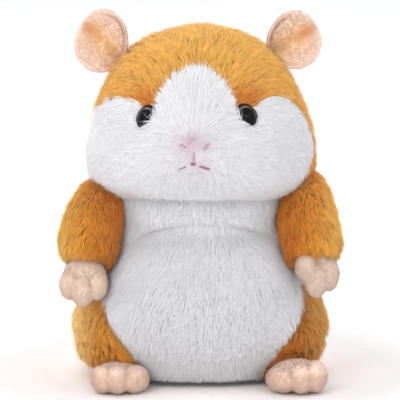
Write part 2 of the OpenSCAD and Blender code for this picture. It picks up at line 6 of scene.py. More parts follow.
import bmesh
import bpy
import numpy as np
from mathutils import Matrix, Vector
from mathutils.kdtree import KDTree


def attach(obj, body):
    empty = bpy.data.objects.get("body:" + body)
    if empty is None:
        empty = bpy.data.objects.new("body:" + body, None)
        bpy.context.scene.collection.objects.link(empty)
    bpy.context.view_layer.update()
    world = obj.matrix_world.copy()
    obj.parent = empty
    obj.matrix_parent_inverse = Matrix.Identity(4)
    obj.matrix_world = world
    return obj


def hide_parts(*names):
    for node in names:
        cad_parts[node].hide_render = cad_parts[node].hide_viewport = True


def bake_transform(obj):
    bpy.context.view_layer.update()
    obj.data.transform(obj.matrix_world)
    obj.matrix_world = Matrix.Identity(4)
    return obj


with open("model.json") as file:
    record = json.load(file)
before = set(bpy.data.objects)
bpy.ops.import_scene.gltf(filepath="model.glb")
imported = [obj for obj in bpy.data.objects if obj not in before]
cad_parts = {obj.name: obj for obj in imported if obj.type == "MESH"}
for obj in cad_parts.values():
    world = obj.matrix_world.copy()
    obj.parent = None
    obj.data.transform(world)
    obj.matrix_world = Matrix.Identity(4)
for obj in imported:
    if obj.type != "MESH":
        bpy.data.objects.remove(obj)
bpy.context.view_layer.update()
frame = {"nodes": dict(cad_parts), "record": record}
DENS = 1.0
MM = 0.001
YAW = math.radians(-2.2)  # the head is sewn on turned a little towards -X


# ------------------------------------------------------------------ helpers
def arr(x):
    return np.asarray(x, float)


def unit(v):
    return v / np.maximum(np.linalg.norm(v, axis=-1, keepdims=True), 1e-9)


_tables = {}


def vnoise(P, scale, seed=0):
    """Smooth value noise in about -1..1 at points P (mm)."""
    if seed not in _tables:
        _tables[seed] = np.random.default_rng(1000 + seed).random((32, 32, 32)) * 2 - 1
    g = _tables[seed]
    Q = arr(P) / scale + 500.0
    i = np.floor(Q).astype(int)
    f = Q - i
    f = f * f * (3 - 2 * f)
    out = 0
    for a in (0, 1):
        for b in (0, 1):
            for c in (0, 1):
                w = (f[:, 0] if a else 1 - f[:, 0]) * (f[:, 1] if b else 1 - f[:, 1]) * (f[:, 2] if c else 1 - f[:, 2])
                out = out + w * g[(i[:, 0] + a) & 31, (i[:, 1] + b) & 31, (i[:, 2] + c) & 31]
    return out


def new_mesh(name, V, F, smooth=True, col=None, uv=None):
    """V in mm, F an (n, 3) or (n, 4) array or a list of such arrays."""
    me = bpy.data.meshes.new(name)
    parts = [np.asarray(f, np.int32) for f in (F if isinstance(F, list) else [F]) if len(f)]
    loops = np.concatenate([p.ravel() for p in parts])
    sizes = np.concatenate([np.full(len(p), p.shape[1], np.int32) for p in parts])
    starts = np.concatenate([[0], np.cumsum(sizes)[:-1]]).astype(np.int32)
    me.vertices.add(len(V))
    me.vertices.foreach_set("co", (arr(V) * MM).astype(np.float32).ravel())
    me.loops.add(len(loops))
    me.loops.foreach_set("vertex_index", loops)
    me.polygons.add(len(sizes))
    me.polygons.foreach_set("loop_start", starts)
    me.update(calc_edges=True)
    me.validate()
    me.polygons.foreach_set("use_smooth", np.full(len(me.polygons), smooth, bool))
    if col is not None:
        rgba = np.ones((len(V), 4), np.float32)
        rgba[:, :3] = col
        me.attributes.new("Col", "FLOAT_COLOR", "POINT").data.foreach_set("color", rgba.ravel())
    if uv is not None:
        lay = me.uv_layers.new(name="OFBake")
        lay.data.foreach_set("uv", arr(uv)[loops].astype(np.float32).ravel())
    me.update()
    ob = bpy.data.objects.new(name, me)
    bpy.context.scene.collection.objects.link(ob)
    return ob


def vertex_normals(V, F):
    parts = F if isinstance(F, list) else [F]
    n = np.zeros_like(V)
    for f in parts:
        if not len(f):
            continue
        a, b, c = V[f[:, 0]], V[f[:, 1]], V[f[:, 2]]
        fn = np.cross(b - a, c - a)
        if f.shape[1] == 4:
            fn = fn + np.cross(c - a, V[f[:, 3]] - a)
        for k in range(f.shape[1]):
            np.add.at(n, f[:, k], fn)
    return unit(n)


def tris_of(F):
    out = []
    for f in F if isinstance(F, list) else [F]:
        if not len(f):
            continue
        if f.shape[1] == 3:
            out.append(f)
        else:
            out += [f[:, [0, 1, 2]], f[:, [0, 2, 3]]]
    return np.concatenate(out)


def outward(V, F):
    """The same faces, all turned to face out."""
    bm = bmesh.new()
    vs = [bm.verts.new(v) for v in V.tolist()]
    for f in F if isinstance(F, list) else [F]:
        for q in f.tolist():
            bm.faces.new([vs[i] for i in q])
    bm.verts.index_update()
    bmesh.ops.recalc_face_normals(bm, faces=bm.faces)
    out = {3: [], 4: []}
    for f in bm.faces:
        out[len(f.verts)].append([v.index for v in f.verts])
    bm.free()
    return [np.array(v, np.int32) for v in out.values() if v]


def catmull(R, t):
    R = arr(R)
    n = len(R)
    i = np.clip(np.floor(t).astype(int), 0, n - 2)
    f = (t - i)[:, None]
    p0, p1, p2, p3 = R[np.clip(i - 1, 0, n - 1)], R[i], R[i + 1], R[np.clip(i + 2, 0, n - 1)]
    return 0.5 * (2 * p1 + (p2 - p0) * f + (2 * p0 - 5 * p1 + 4 * p2 - p3) * f**2 + (3 * p1 - p0 - 3 * p2 + p3) * f**3)


def spow(v, e):
    return np.sign(v) * np.abs(v) ** e


def grid_faces(nu, nv, wrap=True):
    """Faces of rows 0..nv of nu points."""
    j = np.arange(nu if wrap else nu - 1)
    jj = (j + 1) % nu
    out = [np.stack([i * nu + j, i * nu + jj, (i + 1) * nu + jj, (i + 1) * nu + j], 1) for i in range(nv)]
    return np.concatenate(out)


def loft(R, nu, nv, cap=None):
    """Skin from rows of [z, rx, ry, cy, squareness]; cap is the height of a closing point."""
    C = catmull(R, np.linspace(0, len(R) - 1, nv + 1))
    a = -math.pi / 2 + 2 * math.pi * np.arange(nu) / nu
    n = C[:, 4:5]
    X = C[:, 1:2] * spow(np.cos(a)[None], 2 / n)
    Y = C[:, 3:4] + C[:, 2:3] * spow(np.sin(a)[None], 2 / n)
    Z = np.repeat(C[:, 0:1], nu, 1)
    V = np.stack([X, Y, Z], 2).reshape(-1, 3)
    F = [grid_faces(nu, nv)]
    if cap is not None:
        V = np.vstack([V, [[0, C[-1, 3], cap]]])
        j = np.arange(nu)
        F.append(np.stack([nv * nu + j, nv * nu + (j + 1) % nu, np.full(nu, nv * nu + nu)], 1))
    return V, F


def ball(nu, nv):
    """Unit directions on a sphere grid with poles on Z, and faces."""
    ph = np.linspace(-math.pi / 2, math.pi / 2, nv + 1)[1:-1]
    th = 2 * math.pi * np.arange(nu) / nu
    D = np.stack([np.cos(ph)[:, None] * np.cos(th)[None], np.cos(ph)[:, None] * np.sin(th)[None],
                  np.repeat(np.sin(ph)[:, None], nu, 1)], 2).reshape(-1, 3)
    m = len(D)
    D = np.vstack([D, [[0, 0, -1], [0, 0, 1]]])
    j = np.arange(nu)
    last = (nv - 2) * nu
    F = [grid_faces(nu, nv - 2), np.stack([(j + 1) % nu, j, np.full(nu, m)], 1),
         np.stack([last + j, last + (j + 1) % nu, np.full(nu, m + 1)], 1)]
    return D, F


def rot(ax, a):
    return np.array(Matrix.Rotation(a, 3, ax))


def yawed(V):
    return arr(V) @ rot("Z", YAW).T


# ------------------------------------------------------------------ node materials
def node_mat(name):
    m = bpy.data.materials.new(name)
    m.use_nodes = True
    nt = m.node_tree
    return m, nt, nt.nodes["Principled BSDF"]


def put(nt, kind, x=0, y=0, **kw):
    n = nt.nodes.new(kind)
    n.location = (x, y)
    for k, v in kw.items():
        if k in n.inputs.keys():
            n.inputs[k].default_value = v
        else:
            setattr(n, k, v)
    return n


def noise_of(nt, scale, detail=3.0, rough=0.55, coord="Object"):
    tc = put(nt, "ShaderNodeTexCoord")
    n = put(nt, "ShaderNodeTexNoise", Scale=scale, Detail=detail, Roughness=rough)
    nt.links.new(tc.outputs[coord], n.inputs["Vector"])
    return n


def ramp(nt, src, stops):
    r = put(nt, "ShaderNodeValToRGB")
    el = r.color_ramp.elements
    while len(el) < len(stops):
        el.new(0.5)
    for e, (p, c) in zip(el, stops):
        e.position = p
        e.color = (*c, 1)
    nt.links.new(src, r.inputs["Fac"])
    return r


def pile_mat(name, rough=0.85, sheen=0.4, vary=0.12, tint=(1, 1, 1), sss=0.0):
    """Pile and cloth that carry their colour in the Col attribute, with fine and broad variation."""
    m, nt, b = node_mat(name)
    at = put(nt, "ShaderNodeAttribute", attribute_name="Col")
    n1 = noise_of(nt, 900.0, 2.0)
    mul = put(nt, "ShaderNodeMix", data_type="RGBA", blend_type="MULTIPLY")
    mul.inputs["Factor"].default_value = 1.0
    r = ramp(nt, n1.outputs["Fac"], [(0.3, (1 - vary,) * 3), (0.7, (1 + vary * 0.4,) * 3)])
    nt.links.new(at.outputs["Color"], mul.inputs[6])
    nt.links.new(r.outputs["Color"], mul.inputs[7])
    nt.links.new(mul.outputs[2], b.inputs["Base Color"])
    b.inputs["Roughness"].default_value = rough
    b.inputs["Sheen Weight"].default_value = sheen
    b.inputs["Sheen Roughness"].default_value = 0.4
    b.inputs["Sheen Tint"].default_value = (*tint, 1)
    b.inputs["Specular IOR Level"].default_value = 0.2
    b.inputs["Subsurface Weight"].default_value = sss
    b.inputs["Subsurface Scale"].default_value = 0.0006
    b.inputs["Subsurface Radius"].default_value = (1.0, 0.9, 0.8)
    return m


def cloth_mat(name, rough=0.9, sheen=0.5, scale=2600.0, depth=0.15, tint=(1, 0.9, 0.85)):
    """Short-pile cloth: colour from Col, a fine nap bump and mottling."""
    m = pile_mat(name, rough, sheen, 0.1, tint)
    nt = m.node_tree
    b = nt.nodes["Principled BSDF"]
    n = noise_of(nt, scale, 4.0, 0.7)
    bump = put(nt, "ShaderNodeBump", Strength=depth, Distance=0.0002)
    nt.links.new(n.outputs["Fac"], bump.inputs["Height"])
    nt.links.new(bump.outputs["Normal"], b.inputs["Normal"])
    return m


def plastic_mat(name, c, rough=0.5, vary=0.08, metal=0.0, scale=500.0, depth=0.08, coat=0.0):
    m, nt, b = node_mat(name)
    n = noise_of(nt, scale, 4.0)
    c = arr(c)
    r = ramp(nt, n.outputs["Fac"], [(0.3, tuple(c * (1 - vary))), (0.7, tuple(np.minimum(c * (1 + vary), 1)))])
    nt.links.new(r.outputs["Color"], b.inputs["Base Color"])
    b.inputs["Roughness"].default_value = rough
    b.inputs["Metallic"].default_value = metal
    b.inputs["Coat Weight"].default_value = coat
    n2 = noise_of(nt, scale * 4, 2.0)
    bump = put(nt, "ShaderNodeBump", Strength=depth, Distance=0.0003)
    nt.links.new(n2.outputs["Fac"], bump.inputs["Height"])
    nt.links.new(bump.outputs["Normal"], b.inputs["Normal"])
    return m


# ------------------------------------------------------------------ pile
SEED = {"n": 0}
TRI = []
for k in range(3):
    q = (k + 1) % 3
    TRI += [[k, q, 3 + q], [k, 3 + q, 3 + k], [3 + k, 3 + q, 6]]
TRI = np.array([[0, 2, 1]] + TRI)


def nearest(P, C):
    kd = KDTree(len(C))
    for i, c in enumerate(C):
        kd.insert(c, i)
    kd.balance()
    return np.fromiter((kd.find(p)[1] for p in P), np.int64, len(P))


def scatter(V, F, per_mm2, keep=None, seed=1):
    """Random points on a skin: positions, normals. keep(P, N) gives each point's chance."""
    rng = np.random.default_rng(seed)
    T = tris_of(F)
    VN = vertex_normals(V, F)
    a, b, c = V[T[:, 0]], V[T[:, 1]], V[T[:, 2]]
    area = np.linalg.norm(np.cross(b - a, c - a), axis=1) / 2
    n = int(area.sum() * per_mm2)
    t = rng.choice(len(T), n, p=area / area.sum())
    r1, r2 = np.sqrt(rng.random(n)), rng.random(n)
    w = np.stack([1 - r1, r1 * (1 - r2), r1 * r2], 1)
    P = (V[T[t]] * w[:, :, None]).sum(1)
    Nn = unit((VN[T[t]] * w[:, :, None]).sum(1))
    if keep is not None:
        ok = rng.random(n) < keep(P, Nn)
        P, Nn = P[ok], Nn[ok]
    return P, Nn


def lay(P, Nn, comb, length, up):
    """Where the middle of each fibre comes to rest, for choosing its colour."""
    T = unit(comb - Nn * (comb * Nn).sum(1, keepdims=True))
    return P + T * (0.5 * length * (1 - up * 0.5))[:, None] + Nn * (0.3 * length * up)[:, None]


def pile(name, P, Nn, comb, length, lift, width, col, material, clump=(1.6, 0.5), big=(5.0, 0.2), jitter=0.12,
         droop=0.08, root_shade=0.7, light=1.05, bury=0.6, curl=0.2, hue=0.03, tone=0.07, keep_out=None, soft=0.5, flat=0.28):
    """Closed tapering fibres as real geometry. length, lift and width are per fibre or single."""
    SEED["n"] += 1
    rng = np.random.default_rng(50 + SEED["n"])
    n = len(P)
    L = (np.full(n, length) if np.isscalar(length) else length) * (0.75 + 0.45 * rng.random(n))
    up = np.full(n, lift) if np.isscalar(lift) else lift
    up = np.clip(up + 0.07 * rng.normal(size=n), 0.1, 1)[:, None]
    T = unit(comb - Nn * (comb * Nn).sum(1, keepdims=True))
    J = rng.normal(size=(n, 3)) * jitter
    S = unit(np.cross(Nn, T))
    swirl = (vnoise(P, 7.0, 3) * curl)[:, None] * S
    D1 = unit(Nn * (up + 0.12) + T * (1 - up) + J + swirl * 0.6)
    D2 = unit(Nn * up * 0.5 + T * (1.15 - up) + J * 1.2 + swirl * 1.4 + arr([0, 0, -droop]))
    mid = P + D1 * (L * 0.5)[:, None]
    tip = mid + D2 * (L * 0.5)[:, None]
    group = np.zeros(n, int)
    for cr, ck in (big, clump):
        m = max(2, int(n / max(1.0, cr * cr * PER["now"])))
        pick = rng.choice(n, min(m, n), replace=False)
        group = nearest(P, P[pick])
        c = pick[group]
        k = (ck * (0.5 + 0.7 * rng.random(n)))[:, None]
        tip = tip + (tip[c] - tip) * k
        mid = mid + (mid[c] - mid) * k * 0.4
    shade = 1 + tone * rng.normal(size=(len(pick),))[group] + tone * 0.6 * rng.normal(size=n)
    warm = hue * rng.normal(size=(len(pick),))[group]
    if keep_out is not None:
        mid, tip = keep_out(mid), keep_out(tip)
    root = P - Nn * bury
    axis = unit(tip - root)
    s1 = unit(np.cross(axis, Nn + rng.normal(size=(n, 3)) * 0.22))
    s2 = np.cross(s1, axis)
    W = ((np.full(n, width) if np.isscalar(width) else width) * (0.75 + 0.5 * rng.random(n)))[:, None]
    V = np.empty((n, 7, 3))
    for k, (p, q) in enumerate(((0.5, 0.0), (-0.5, 0.0), (0.0, flat))):
        o = s1 * p + s2 * q
        V[:, k] = root + o * W
        V[:, 3 + k] = mid + o * W * 0.85
    V[:, 6] = tip
    F = (np.arange(n) * 7)[:, None, None] + TRI[None]
    c = col * shade[:, None] * np.stack([1 + warm * 0.5, np.ones(n), 1 - warm], 1)
    C = np.empty((n, 7, 3))
    # painted shade at the roots and painted highlight at the tips: roots are darkened by the root factor, tips
    # lightened by the light factor
    C[:, 0:3] = (c * root_shade ** arr([0.55, 1.0, 1.75]))[:, None]
    C[:, 3:6] = c[:, None]
    C[:, 6] = c * light
    g = int(math.ceil(math.sqrt(n)))
    cell = np.stack([np.arange(n) % g, np.arange(n) // g], 1) / g
    loc = arr([[0.2, 0.1], [0.5, 0.1], [0.8, 0.1], [0.25, 0.55], [0.5, 0.55], [0.75, 0.55], [0.5, 0.92]]) / g
    uv = cell[:, None] + loc[None]
    ob = new_mesh(name, V.reshape(-1, 3), F.reshape(-1, 3), True, np.clip(C.reshape(-1, 3), 0, 0.985), uv.reshape(-1, 2))
    if soft > 0:
        # each fibre is lit partly like the skin it lies on, with one normal for each vertex, so the pile reads as soft as brushed plush
        T3 = V[:, TRI]
        Ng = unit(np.cross(T3[:, :, 1] - T3[:, :, 0], T3[:, :, 2] - T3[:, :, 0]))
        Nv = np.zeros_like(V)
        for f, tri in enumerate(np.asarray(TRI).reshape(-1, 3)):
            for v in tri:
                Nv[:, v] += Ng[:, f]
        Nv = unit(Nv)
        d = (Nv * Nn[:, None]).sum(2, keepdims=True)
        k = soft * np.clip((d + 1.0) / 0.7, 0, 1)
        NL = unit(Nv + k * Nn[:, None])[:, TRI]
        nat = ob.data.attributes.new("custom_normal", "FLOAT_VECTOR", "CORNER")
        nat.data.foreach_set("vector", NL.astype(np.float32).ravel())
        ob.data.update()
    ob.data.materials.append(material)
    return ob


PER = {"now": 3.0}


# ------------------------------------------------------------------ colours (linear)
def lin(r, g, b):
    c = arr([r, g, b]) / 255.0
    return np.where(c <= 0.04045, c / 12.92, ((c + 0.055) / 1.055) ** 2.4)


ORANGE = lin(218, 150, 58)
# the next two are lit and shaded copies of the orange, mixed in as painted highlight and painted shade
ORANGE_LIT = lin(228, 175, 86)
ORANGE_SHADE = lin(200, 100, 20)
ARM = lin(220, 142, 48)
WHITE = arr([0.968, 0.965, 0.98])
BLUSH = lin(228, 200, 212)
PAW = lin(219, 195, 177)
FOOT = lin(221, 190, 172)
PAW_SEAM_AND_SHADE = lin(208, 170, 150)
EAR_RIM = lin(240, 212, 194)
EAR_IN = lin(235, 192, 142)
EAR_SPOT = lin(228, 152, 96)
EAR_BASE = lin(230, 168, 116)
PINK = lin(180, 130, 148)
PINK_DARK = lin(152, 92, 116)

fur_mat = pile_mat("fur_orange", 0.75, 0.6, 0.08, (1, 0.86, 0.62))
white_mat = pile_mat("fur_white", 0.85, 0.2, 0.03, sss=0.24)
short_mat = pile_mat("pile_short", 0.9, 0.4, 0.05, (1, 0.94, 0.9))
paw_mat = cloth_mat("cloth_paw")
ear_mat = cloth_mat("cloth_ear")
skin_mat = cloth_mat("skin_backing", 0.95, 0.2, 1500.0, 0.5)


def mix(a, b, w):
    return a * (1 - w) + b * w


def gauss(v, s):
    return np.exp(-((v / s) ** 2))


FW = (0.20, 0.27)  # width of a white and of an orange fibre


def nap(name, skin, per, comb, length, lift, width, colour, white, body, seed, keep=None, lf=None, split=None, tf=None, material=None, **kw):
    """Covers a skin in fibres and rides them on a body. white(P) says which fibres take the white pile."""
    V, F = skin
    top = max(per)
    P, Nn = scatter(V, F, top * DENS, keep, seed)
    L = length(P)
    up = lift(P)
    M = lay(P, Nn, comb(P), L, up)
    w = white(M)
    thin = np.random.default_rng(seed).random(len(P)) < np.where(w, per[0], per[1]) / top
    P, Nn, L, up, M, w = P[thin], Nn[thin], L[thin], up[thin], M[thin], w[thin]
    out = []
    for nm, g, is_white in split(P, M, w):
        PER["now"] = (per[0] if is_white else per[1]) * DENS
        o = dict(root_shade=0.96, light=1.01, hue=0.004, tone=0.018, jitter=0.07, curl=0.2, soft=4.0) if is_white else dict(root_shade=0.66, light=1.08, soft=0.6)
        o.update(kw.get("white_kw" if is_white else "orange_kw", {}))
        ob = pile(nm, P[g], Nn[g], comb(P[g]), L[g], up[g], width[0 if is_white else 1], colour(M[g]), material or (white_mat if is_white else fur_mat), keep_out=lf, **o)
        if tf is not None:
            ob.data.transform(tf)
        if body:
            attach(ob, body)
        COUNT[nm] = int(g.sum())
        out.append(ob)
    return out


COUNT = {}

# ------------------------------------------------------------------ head
HEAD = [[90, 14, 12, 1, 2.0], [86, 22, 19, 1, 2.0], [83, 29, 25, 0.5, 2.1], [81.5, 34.5, 31, -0.5, 2.2], [82.2, 40, 36, -1.2, 2.2],
        [85, 44.2, 39.6, -1.6, 2.2], [90, 47.4, 42.2, -2.2, 2.2], [96, 48.9, 43.3, -2.5, 2.2], [103, 48.8, 43.3, -2.5, 2.2],
        [111, 47.2, 42.8, -2, 2.2], [119.5, 44.6, 41.2, -1.5, 2.2], [128, 41.0, 38.6, -0.5, 2.15], [136, 36.6, 35.4, 0.5, 2.1],
        [143, 30.8, 31.2, 1, 2.05], [148.5, 23.2, 24.2, 1.5, 2], [152.2, 14.2, 15.0, 1.5, 2], [154.0, 5, 5.4, 1.5, 2]]
EYES = [(-21.7, -37.6, 118.6), (21.4, -37.4, 119.6)]
EYE_R = 5.0
EYE_SHAPE = [(4.35, 6.0, math.radians(29)), (4.5, 5.9, math.radians(40))]  # half width, half height, lean


def eye_frame(P, i, grow=0.0):
    """P seen from eye i, scaled so that the rim is at 5."""
    b, a, lean = EYE_SHAPE[i]
    d = P - arr(EYES[i])
    q = d @ rot("Y", lean if i == 0 else -lean)
    return q * arr([EYE_R / (b + grow), 1.0, EYE_R / (a + grow)])


def eye_unframe(q, i, grow=0.0):
    b, a, lean = EYE_SHAPE[i]
    return (q / arr([EYE_R / (b + grow), 1.0, EYE_R / (a + grow)])) @ rot("Y", lean if i == 0 else -lean).T + arr(EYES[i])


def head_shape(V):
    V = V.copy()
    x, z = V[:, 0], V[:, 2]
    front = np.clip(-V[:, 1] / 30, 0, 1)
    d = 5.0 * np.exp(-(((z - 103) / 11) ** 2) - (x / 17) ** 2)
    d += 2.0 * np.exp(-(((z - 95) / 8) ** 2) - ((np.abs(x) - 23) / 13) ** 2)
    d -= 1.4 * np.exp(-(((z - 91) / 4.5) ** 2) - (x / 8) ** 2)
    d -= 0.9 * np.exp(-(((z - 116) / 9) ** 2) - (x / 6) ** 2)
    for ex, ey, ez in EYES:
        d -= 2.0 * np.exp(-(((x - ex) / 6.5) ** 2) - ((z - ez) / 6.5) ** 2)
        d += 1.3 * np.exp(-(((x - ex) / 9) ** 2) - ((z - ez - 10) / 4.5) ** 2)
    V[:, 1] -= d * front
    V[:, 2] += 2.2 * np.clip(-V[:, 1] / 38, 0, 1) * gauss(z - 82, 5.0)
    V += vnoise(V, 16, 5)[:, None] * unit(V - arr([0, 0, 115])) * 0.5
    V += vnoise(V, 8, 25)[:, None] * unit(V - arr([0, 0, 115])) * 0.18
    return V


hv, hf = loft(HEAD, 144, 124, 154.4)
hv = head_shape(hv)


def face_white(P):
    """How white the head is at P, from the sewn face panel: blaze between the eyes and both cheeks."""
    x, y, z = P[:, 0], P[:, 1], P[:, 2]
    ax = np.abs(x)
    nz = vnoise(P, 4.0, 8) * 1.0 + vnoise(P, 0.9, 33) * 1.0
    bx = np.abs(x + 0.4)
    sx = np.abs(x + 1.6)
    blaze = np.interp(z, [118, 122, 126, 130, 134.5, 138, 140.3, 141.5], [19.5, 18.2, 17.2, 15.0, 11.4, 7.6, 3.6, -3])
    top = np.interp(ax, [0, 19, 22, 25, 28, 33, 38, 43, 48, 52], [118, 120.5, 122.5, 124.2, 126.0, 126.8, 125.0, 121.0, 117.0, 113])
    side = np.interp(z, [78, 84, 90, 97, 108, 118, 124], [40, 43.5, 47.0, 50, 51, 51, 48])
    ang = np.degrees(np.arctan2(ax, -y))
    back = np.interp(z, [78, 84, 90, 97, 108, 116, 122, 127], [74, 80, 85, 88, 88, 84, 77, 66]) + np.where(x < 0, 4.0, -9.0)
    lower = (z < top + nz) & (sx < side + nz * 0.6) & (ang < back + nz * 1.5)
    upper = (bx < blaze + nz) & (z > 110)
    return (y < 6) & (lower | upper)


def head_colour(P):
    w = face_white(P).astype(float)[:, None]
    x, y, z = P[:, 0:1], P[:, 1:2], P[:, 2:3]
    # painted highlight: the orange turns lighter towards the crown, with random tone; painted shade: it turns deeper
    # low on the head
    up = np.clip((z - 108) / 40, 0, 1)
    nz = 0.5 + 0.5 * vnoise(P, 9.0, 11)[:, None]
    org = mix(ORANGE, ORANGE_LIT, up * (0.45 + 0.55 * nz))
    org = mix(org, ORANGE_SHADE, 0.25 * np.clip((110 - z) / 25, 0, 1))
    for ex, ey, ez in EYES:
        g = np.exp(-(((x - ex) / 7) ** 2) - ((z - ez - 7) / 5.5) ** 2) * (y < 0)
        org = mix(org, ORANGE_SHADE, 0.75 * g)
    wh = mix(WHITE, BLUSH, 0.85 * np.exp(-(((x + 2.4) / 7) ** 2) - ((z - 109.0) / 5.0) ** 2) * (y < -30))
    # painted shade: the white darkens towards both sides of the face, more on the right, and in a small spot at the
    # whorl over the nose
    wh = wh * (1 - np.where(x < 0, 0.07, 0.09) * np.clip((np.abs(x) - 20) / 20, 0, 1))
    wh = wh * (1 - 0.24 * np.exp(-(((x + 1.6) / 2.4) ** 2) - ((z - 110.8) / 2.6) ** 2) * (y < -30))
    wh = mix(wh, BLUSH, 0.30 * np.exp(-(((x + 0.6) / 9) ** 2) - ((z - 100) / 5) ** 2) * (y < -30))
    return mix(org, wh, w)


def gap_shade(P):
    """Where the skin shows round an eye, and in the whorl over the nose; the backing is painted darker there as shade.
    """
    near = np.min([np.linalg.norm(eye_frame(P, i), axis=1) for i in (0, 1)], axis=0) < 7.5
    return near | ((np.hypot(P[:, 0] + 1.6, P[:, 2] - 110.8) < 2.2) & (P[:, 1] < -30))


def clear_eyes(Q):
    """Keeps fibres off the eye domes, save a fringe on the lower inner side."""
    Q = Q.copy()
    for i, (ex, ey, ez) in enumerate(EYES):
        d = eye_frame(Q, i) - arr([0, 1.2, 0])
        r = np.linalg.norm(d, axis=1)
        w = Q - arr([ex, ey, ez])
        inner = -np.sign(ex) * w[:, 0] * 0.75 - w[:, 2] * 0.65
        over = (inner > 0.9) & (r < 5.6)
        Q[over] = eye_unframe(unit(d + arr([0, -1.5, 0])) * (5.25 + 0.1 * np.clip(inner, 0, 4))[:, None] + arr([0, 1.2, 0]), i)[over]
        near = (r < 5.6) & ~over
        flat = d.copy()
        flat[:, 1] = np.minimum(flat[:, 1] * 0.3, 0)
        Q[near] = eye_unframe(unit(flat) * 5.6 + arr([0, 1.2, 0]), i)[near]
    return Q


def head_comb(P):
    r = unit((P - arr([-1.5, -52, 106])) * arr([1, 0.5, 1])) * np.clip(np.hypot(P[:, 0:1] + 1.5, P[:, 2:3] - 106) / 13, 0, 1)
    down = arr([0, 0, -1.0])
    face = np.clip((-P[:, 1] - 2) / 26, 0, 1)[:, None]
    crown = np.clip((P[:, 2:3] - 122) / 16, 0, 1)
    out = unit(P * arr([1, 1, 0]))
    top = np.clip((P[:, 2:3] - 134) / 12, 0, 1)
    side = (down + arr([0, 0.3, 0])) * (1 - crown) + crown * (out * 0.9 + down * 0.5)
    c = face * (r + down * 0.34 * (1 - crown)) + (1 - face) * side
    return c * (1 - 0.8 * top) + top * (arr([0, 1.0, 0.1]) + arr([1, 0, 0]) * P[:, 0:1] / 30)


# painted shade: the backing is darker than the pile, darker still round the eyes and in the whorl, so gaps between
# fibres read as shade
head_skin = new_mesh("head_skin", yawed(hv), hf, True, head_colour(hv) * np.where(face_white(hv), np.where(gap_shade(hv), 0.55, 0.86), 0.74)[:, None])
head_skin.data.materials.append(skin_mat)
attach(head_skin, "head")
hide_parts("head_fur", "face_fur", "head_stuffing")


def near_eye(P):
    return np.min([np.linalg.norm(eye_frame(P, i), axis=1) for i in (0, 1)], axis=0)


def head_keep(P, N):
    outer = (np.abs(P[:, 0]) > 22) & (P[:, 2] < 123)
    k = (near_eye(P) > np.where(outer, EYE_R + 0.15, EYE_R - 0.1)).astype(float)
    return k * ((np.hypot(P[:, 0], P[:, 1]) > 31) | (P[:, 2] > 100))


def head_len(P):
    w = face_white(P)
    ln = np.where(w, 5.6, 6.4) * np.clip(near_eye(P) / 13, np.where((P[:, 2] < 121) & (np.abs(P[:, 0]) < 22), 0.8, 0.5), 1)
    muz = np.exp(-(((P[:, 2] - 104) / 9) ** 2) - (P[:, 0] / 11) ** 2) * (P[:, 1] < 0)
    ln = ln * (1 - 0.55 * muz)
    under = np.clip((88 - P[:, 2]) / 6, 0, 1)
    return ln * (1 - np.where(w, -0.1, 0.35) * under)


def head_lift(P):
    under = np.clip((88 - P[:, 2]) / 6, 0, 1)
    return np.where(face_white(P), 0.27, 0.34) * (1 - 0.4 * under)


def head_split(P, M, w):
    ang = np.degrees(np.arctan2(P[:, 0], -P[:, 1]))
    z = P[:, 2]
    c = np.where(P[:, 0] < 0, "left", "right")
    out = []
    for s in ("left", "right"):
        k = c == s
        out += [("head_pile_cheek_" + s, w & k & (z < 104), True), ("head_pile_face_" + s, w & k & (z >= 104), True),
                ("head_pile_brow_" + s, ~w & k & (np.abs(ang) < 50), False), ("head_pile_side_" + s, ~w & k & (np.abs(ang) >= 50) & (np.abs(ang) < 110), False),
                ("head_pile_back_low_" + s, ~w & k & (np.abs(ang) >= 110) & (z < 112), False), ("head_pile_back_" + s, ~w & k & (np.abs(ang) >= 110) & (z >= 112), False)]
    return out


yaw_m = Matrix.Rotation(YAW, 4, "Z")
nap("head", (hv, hf), (7.5, 5.6), head_comb, head_len, head_lift, FW, head_colour, face_white, "head", 11, head_keep, clear_eyes, head_split, yaw_m,
    white_kw=dict(clump=(1.0, 0.16), big=(4, 0.08)), orange_kw=dict(clump=(1.6, 0.48), big=(5, 0.15)))

# ------------------------------------------------------------------ body
BODY = [[4.2, 33.6, 29.8, 0, 3.0], [2.8, 36.5, 33, -0.3, 2.7], [2.2, 39.8, 36.6, -0.8, 2.4], [3.4, 43.2, 38.8, -1.2, 2.2],
        [7, 47.0, 41.2, -1.6, 2.2], [13, 51.4, 44.2, -2, 2.2], [20, 53.2, 46.4, -3, 2.2], [29, 52.8, 47.6, -3.4, 2.2],
        [38, 50.0, 46.8, -3.4, 2.2], [47, 45.8, 43.8, -2.5, 2.2], [56, 41.8, 40.3, -1.5, 2.2], [64, 38.6, 36.4, -0.5, 2.2],
        [69, 34.6, 32.2, 0, 2.2], [71.6, 29, 26.5, 0, 2.2], [72.4, 22, 19.5, 0, 2.2]]
BC = 1.9  # the belly sits a little towards +X


def belly_half(z):
    return np.interp(z, [0, 4.6, 12, 18, 24, 30, 35, 45, 57, 74, 84], [24, 25, 28.6, 33, 37.8, 41.6, 43.2, 42.6, 39.5, 36.5, 36])


def crease_z(x):
    return 73.2 - 15.5 * (np.abs(x - 1) / 37.0) ** 2.2


def chest(V, w=1.0):
    """Belly ball below the chest crease, soft roll above it."""
    x, y, z = V[:, 0], V[:, 1], V[:, 2]
    front = np.clip(-y / 16, 0, 1)
    t = z - crease_z(x)
    d = -1.9 * gauss(t, 2.3) * (0.35 + 0.65 * np.clip(np.abs(x - 1) / 28, 0, 1)) + 1.9 * gauss(t + 7, 6.0) + 1.7 * gauss(t - 5.0, 3.8)
    return d * front * (np.abs(x) < 60) * w


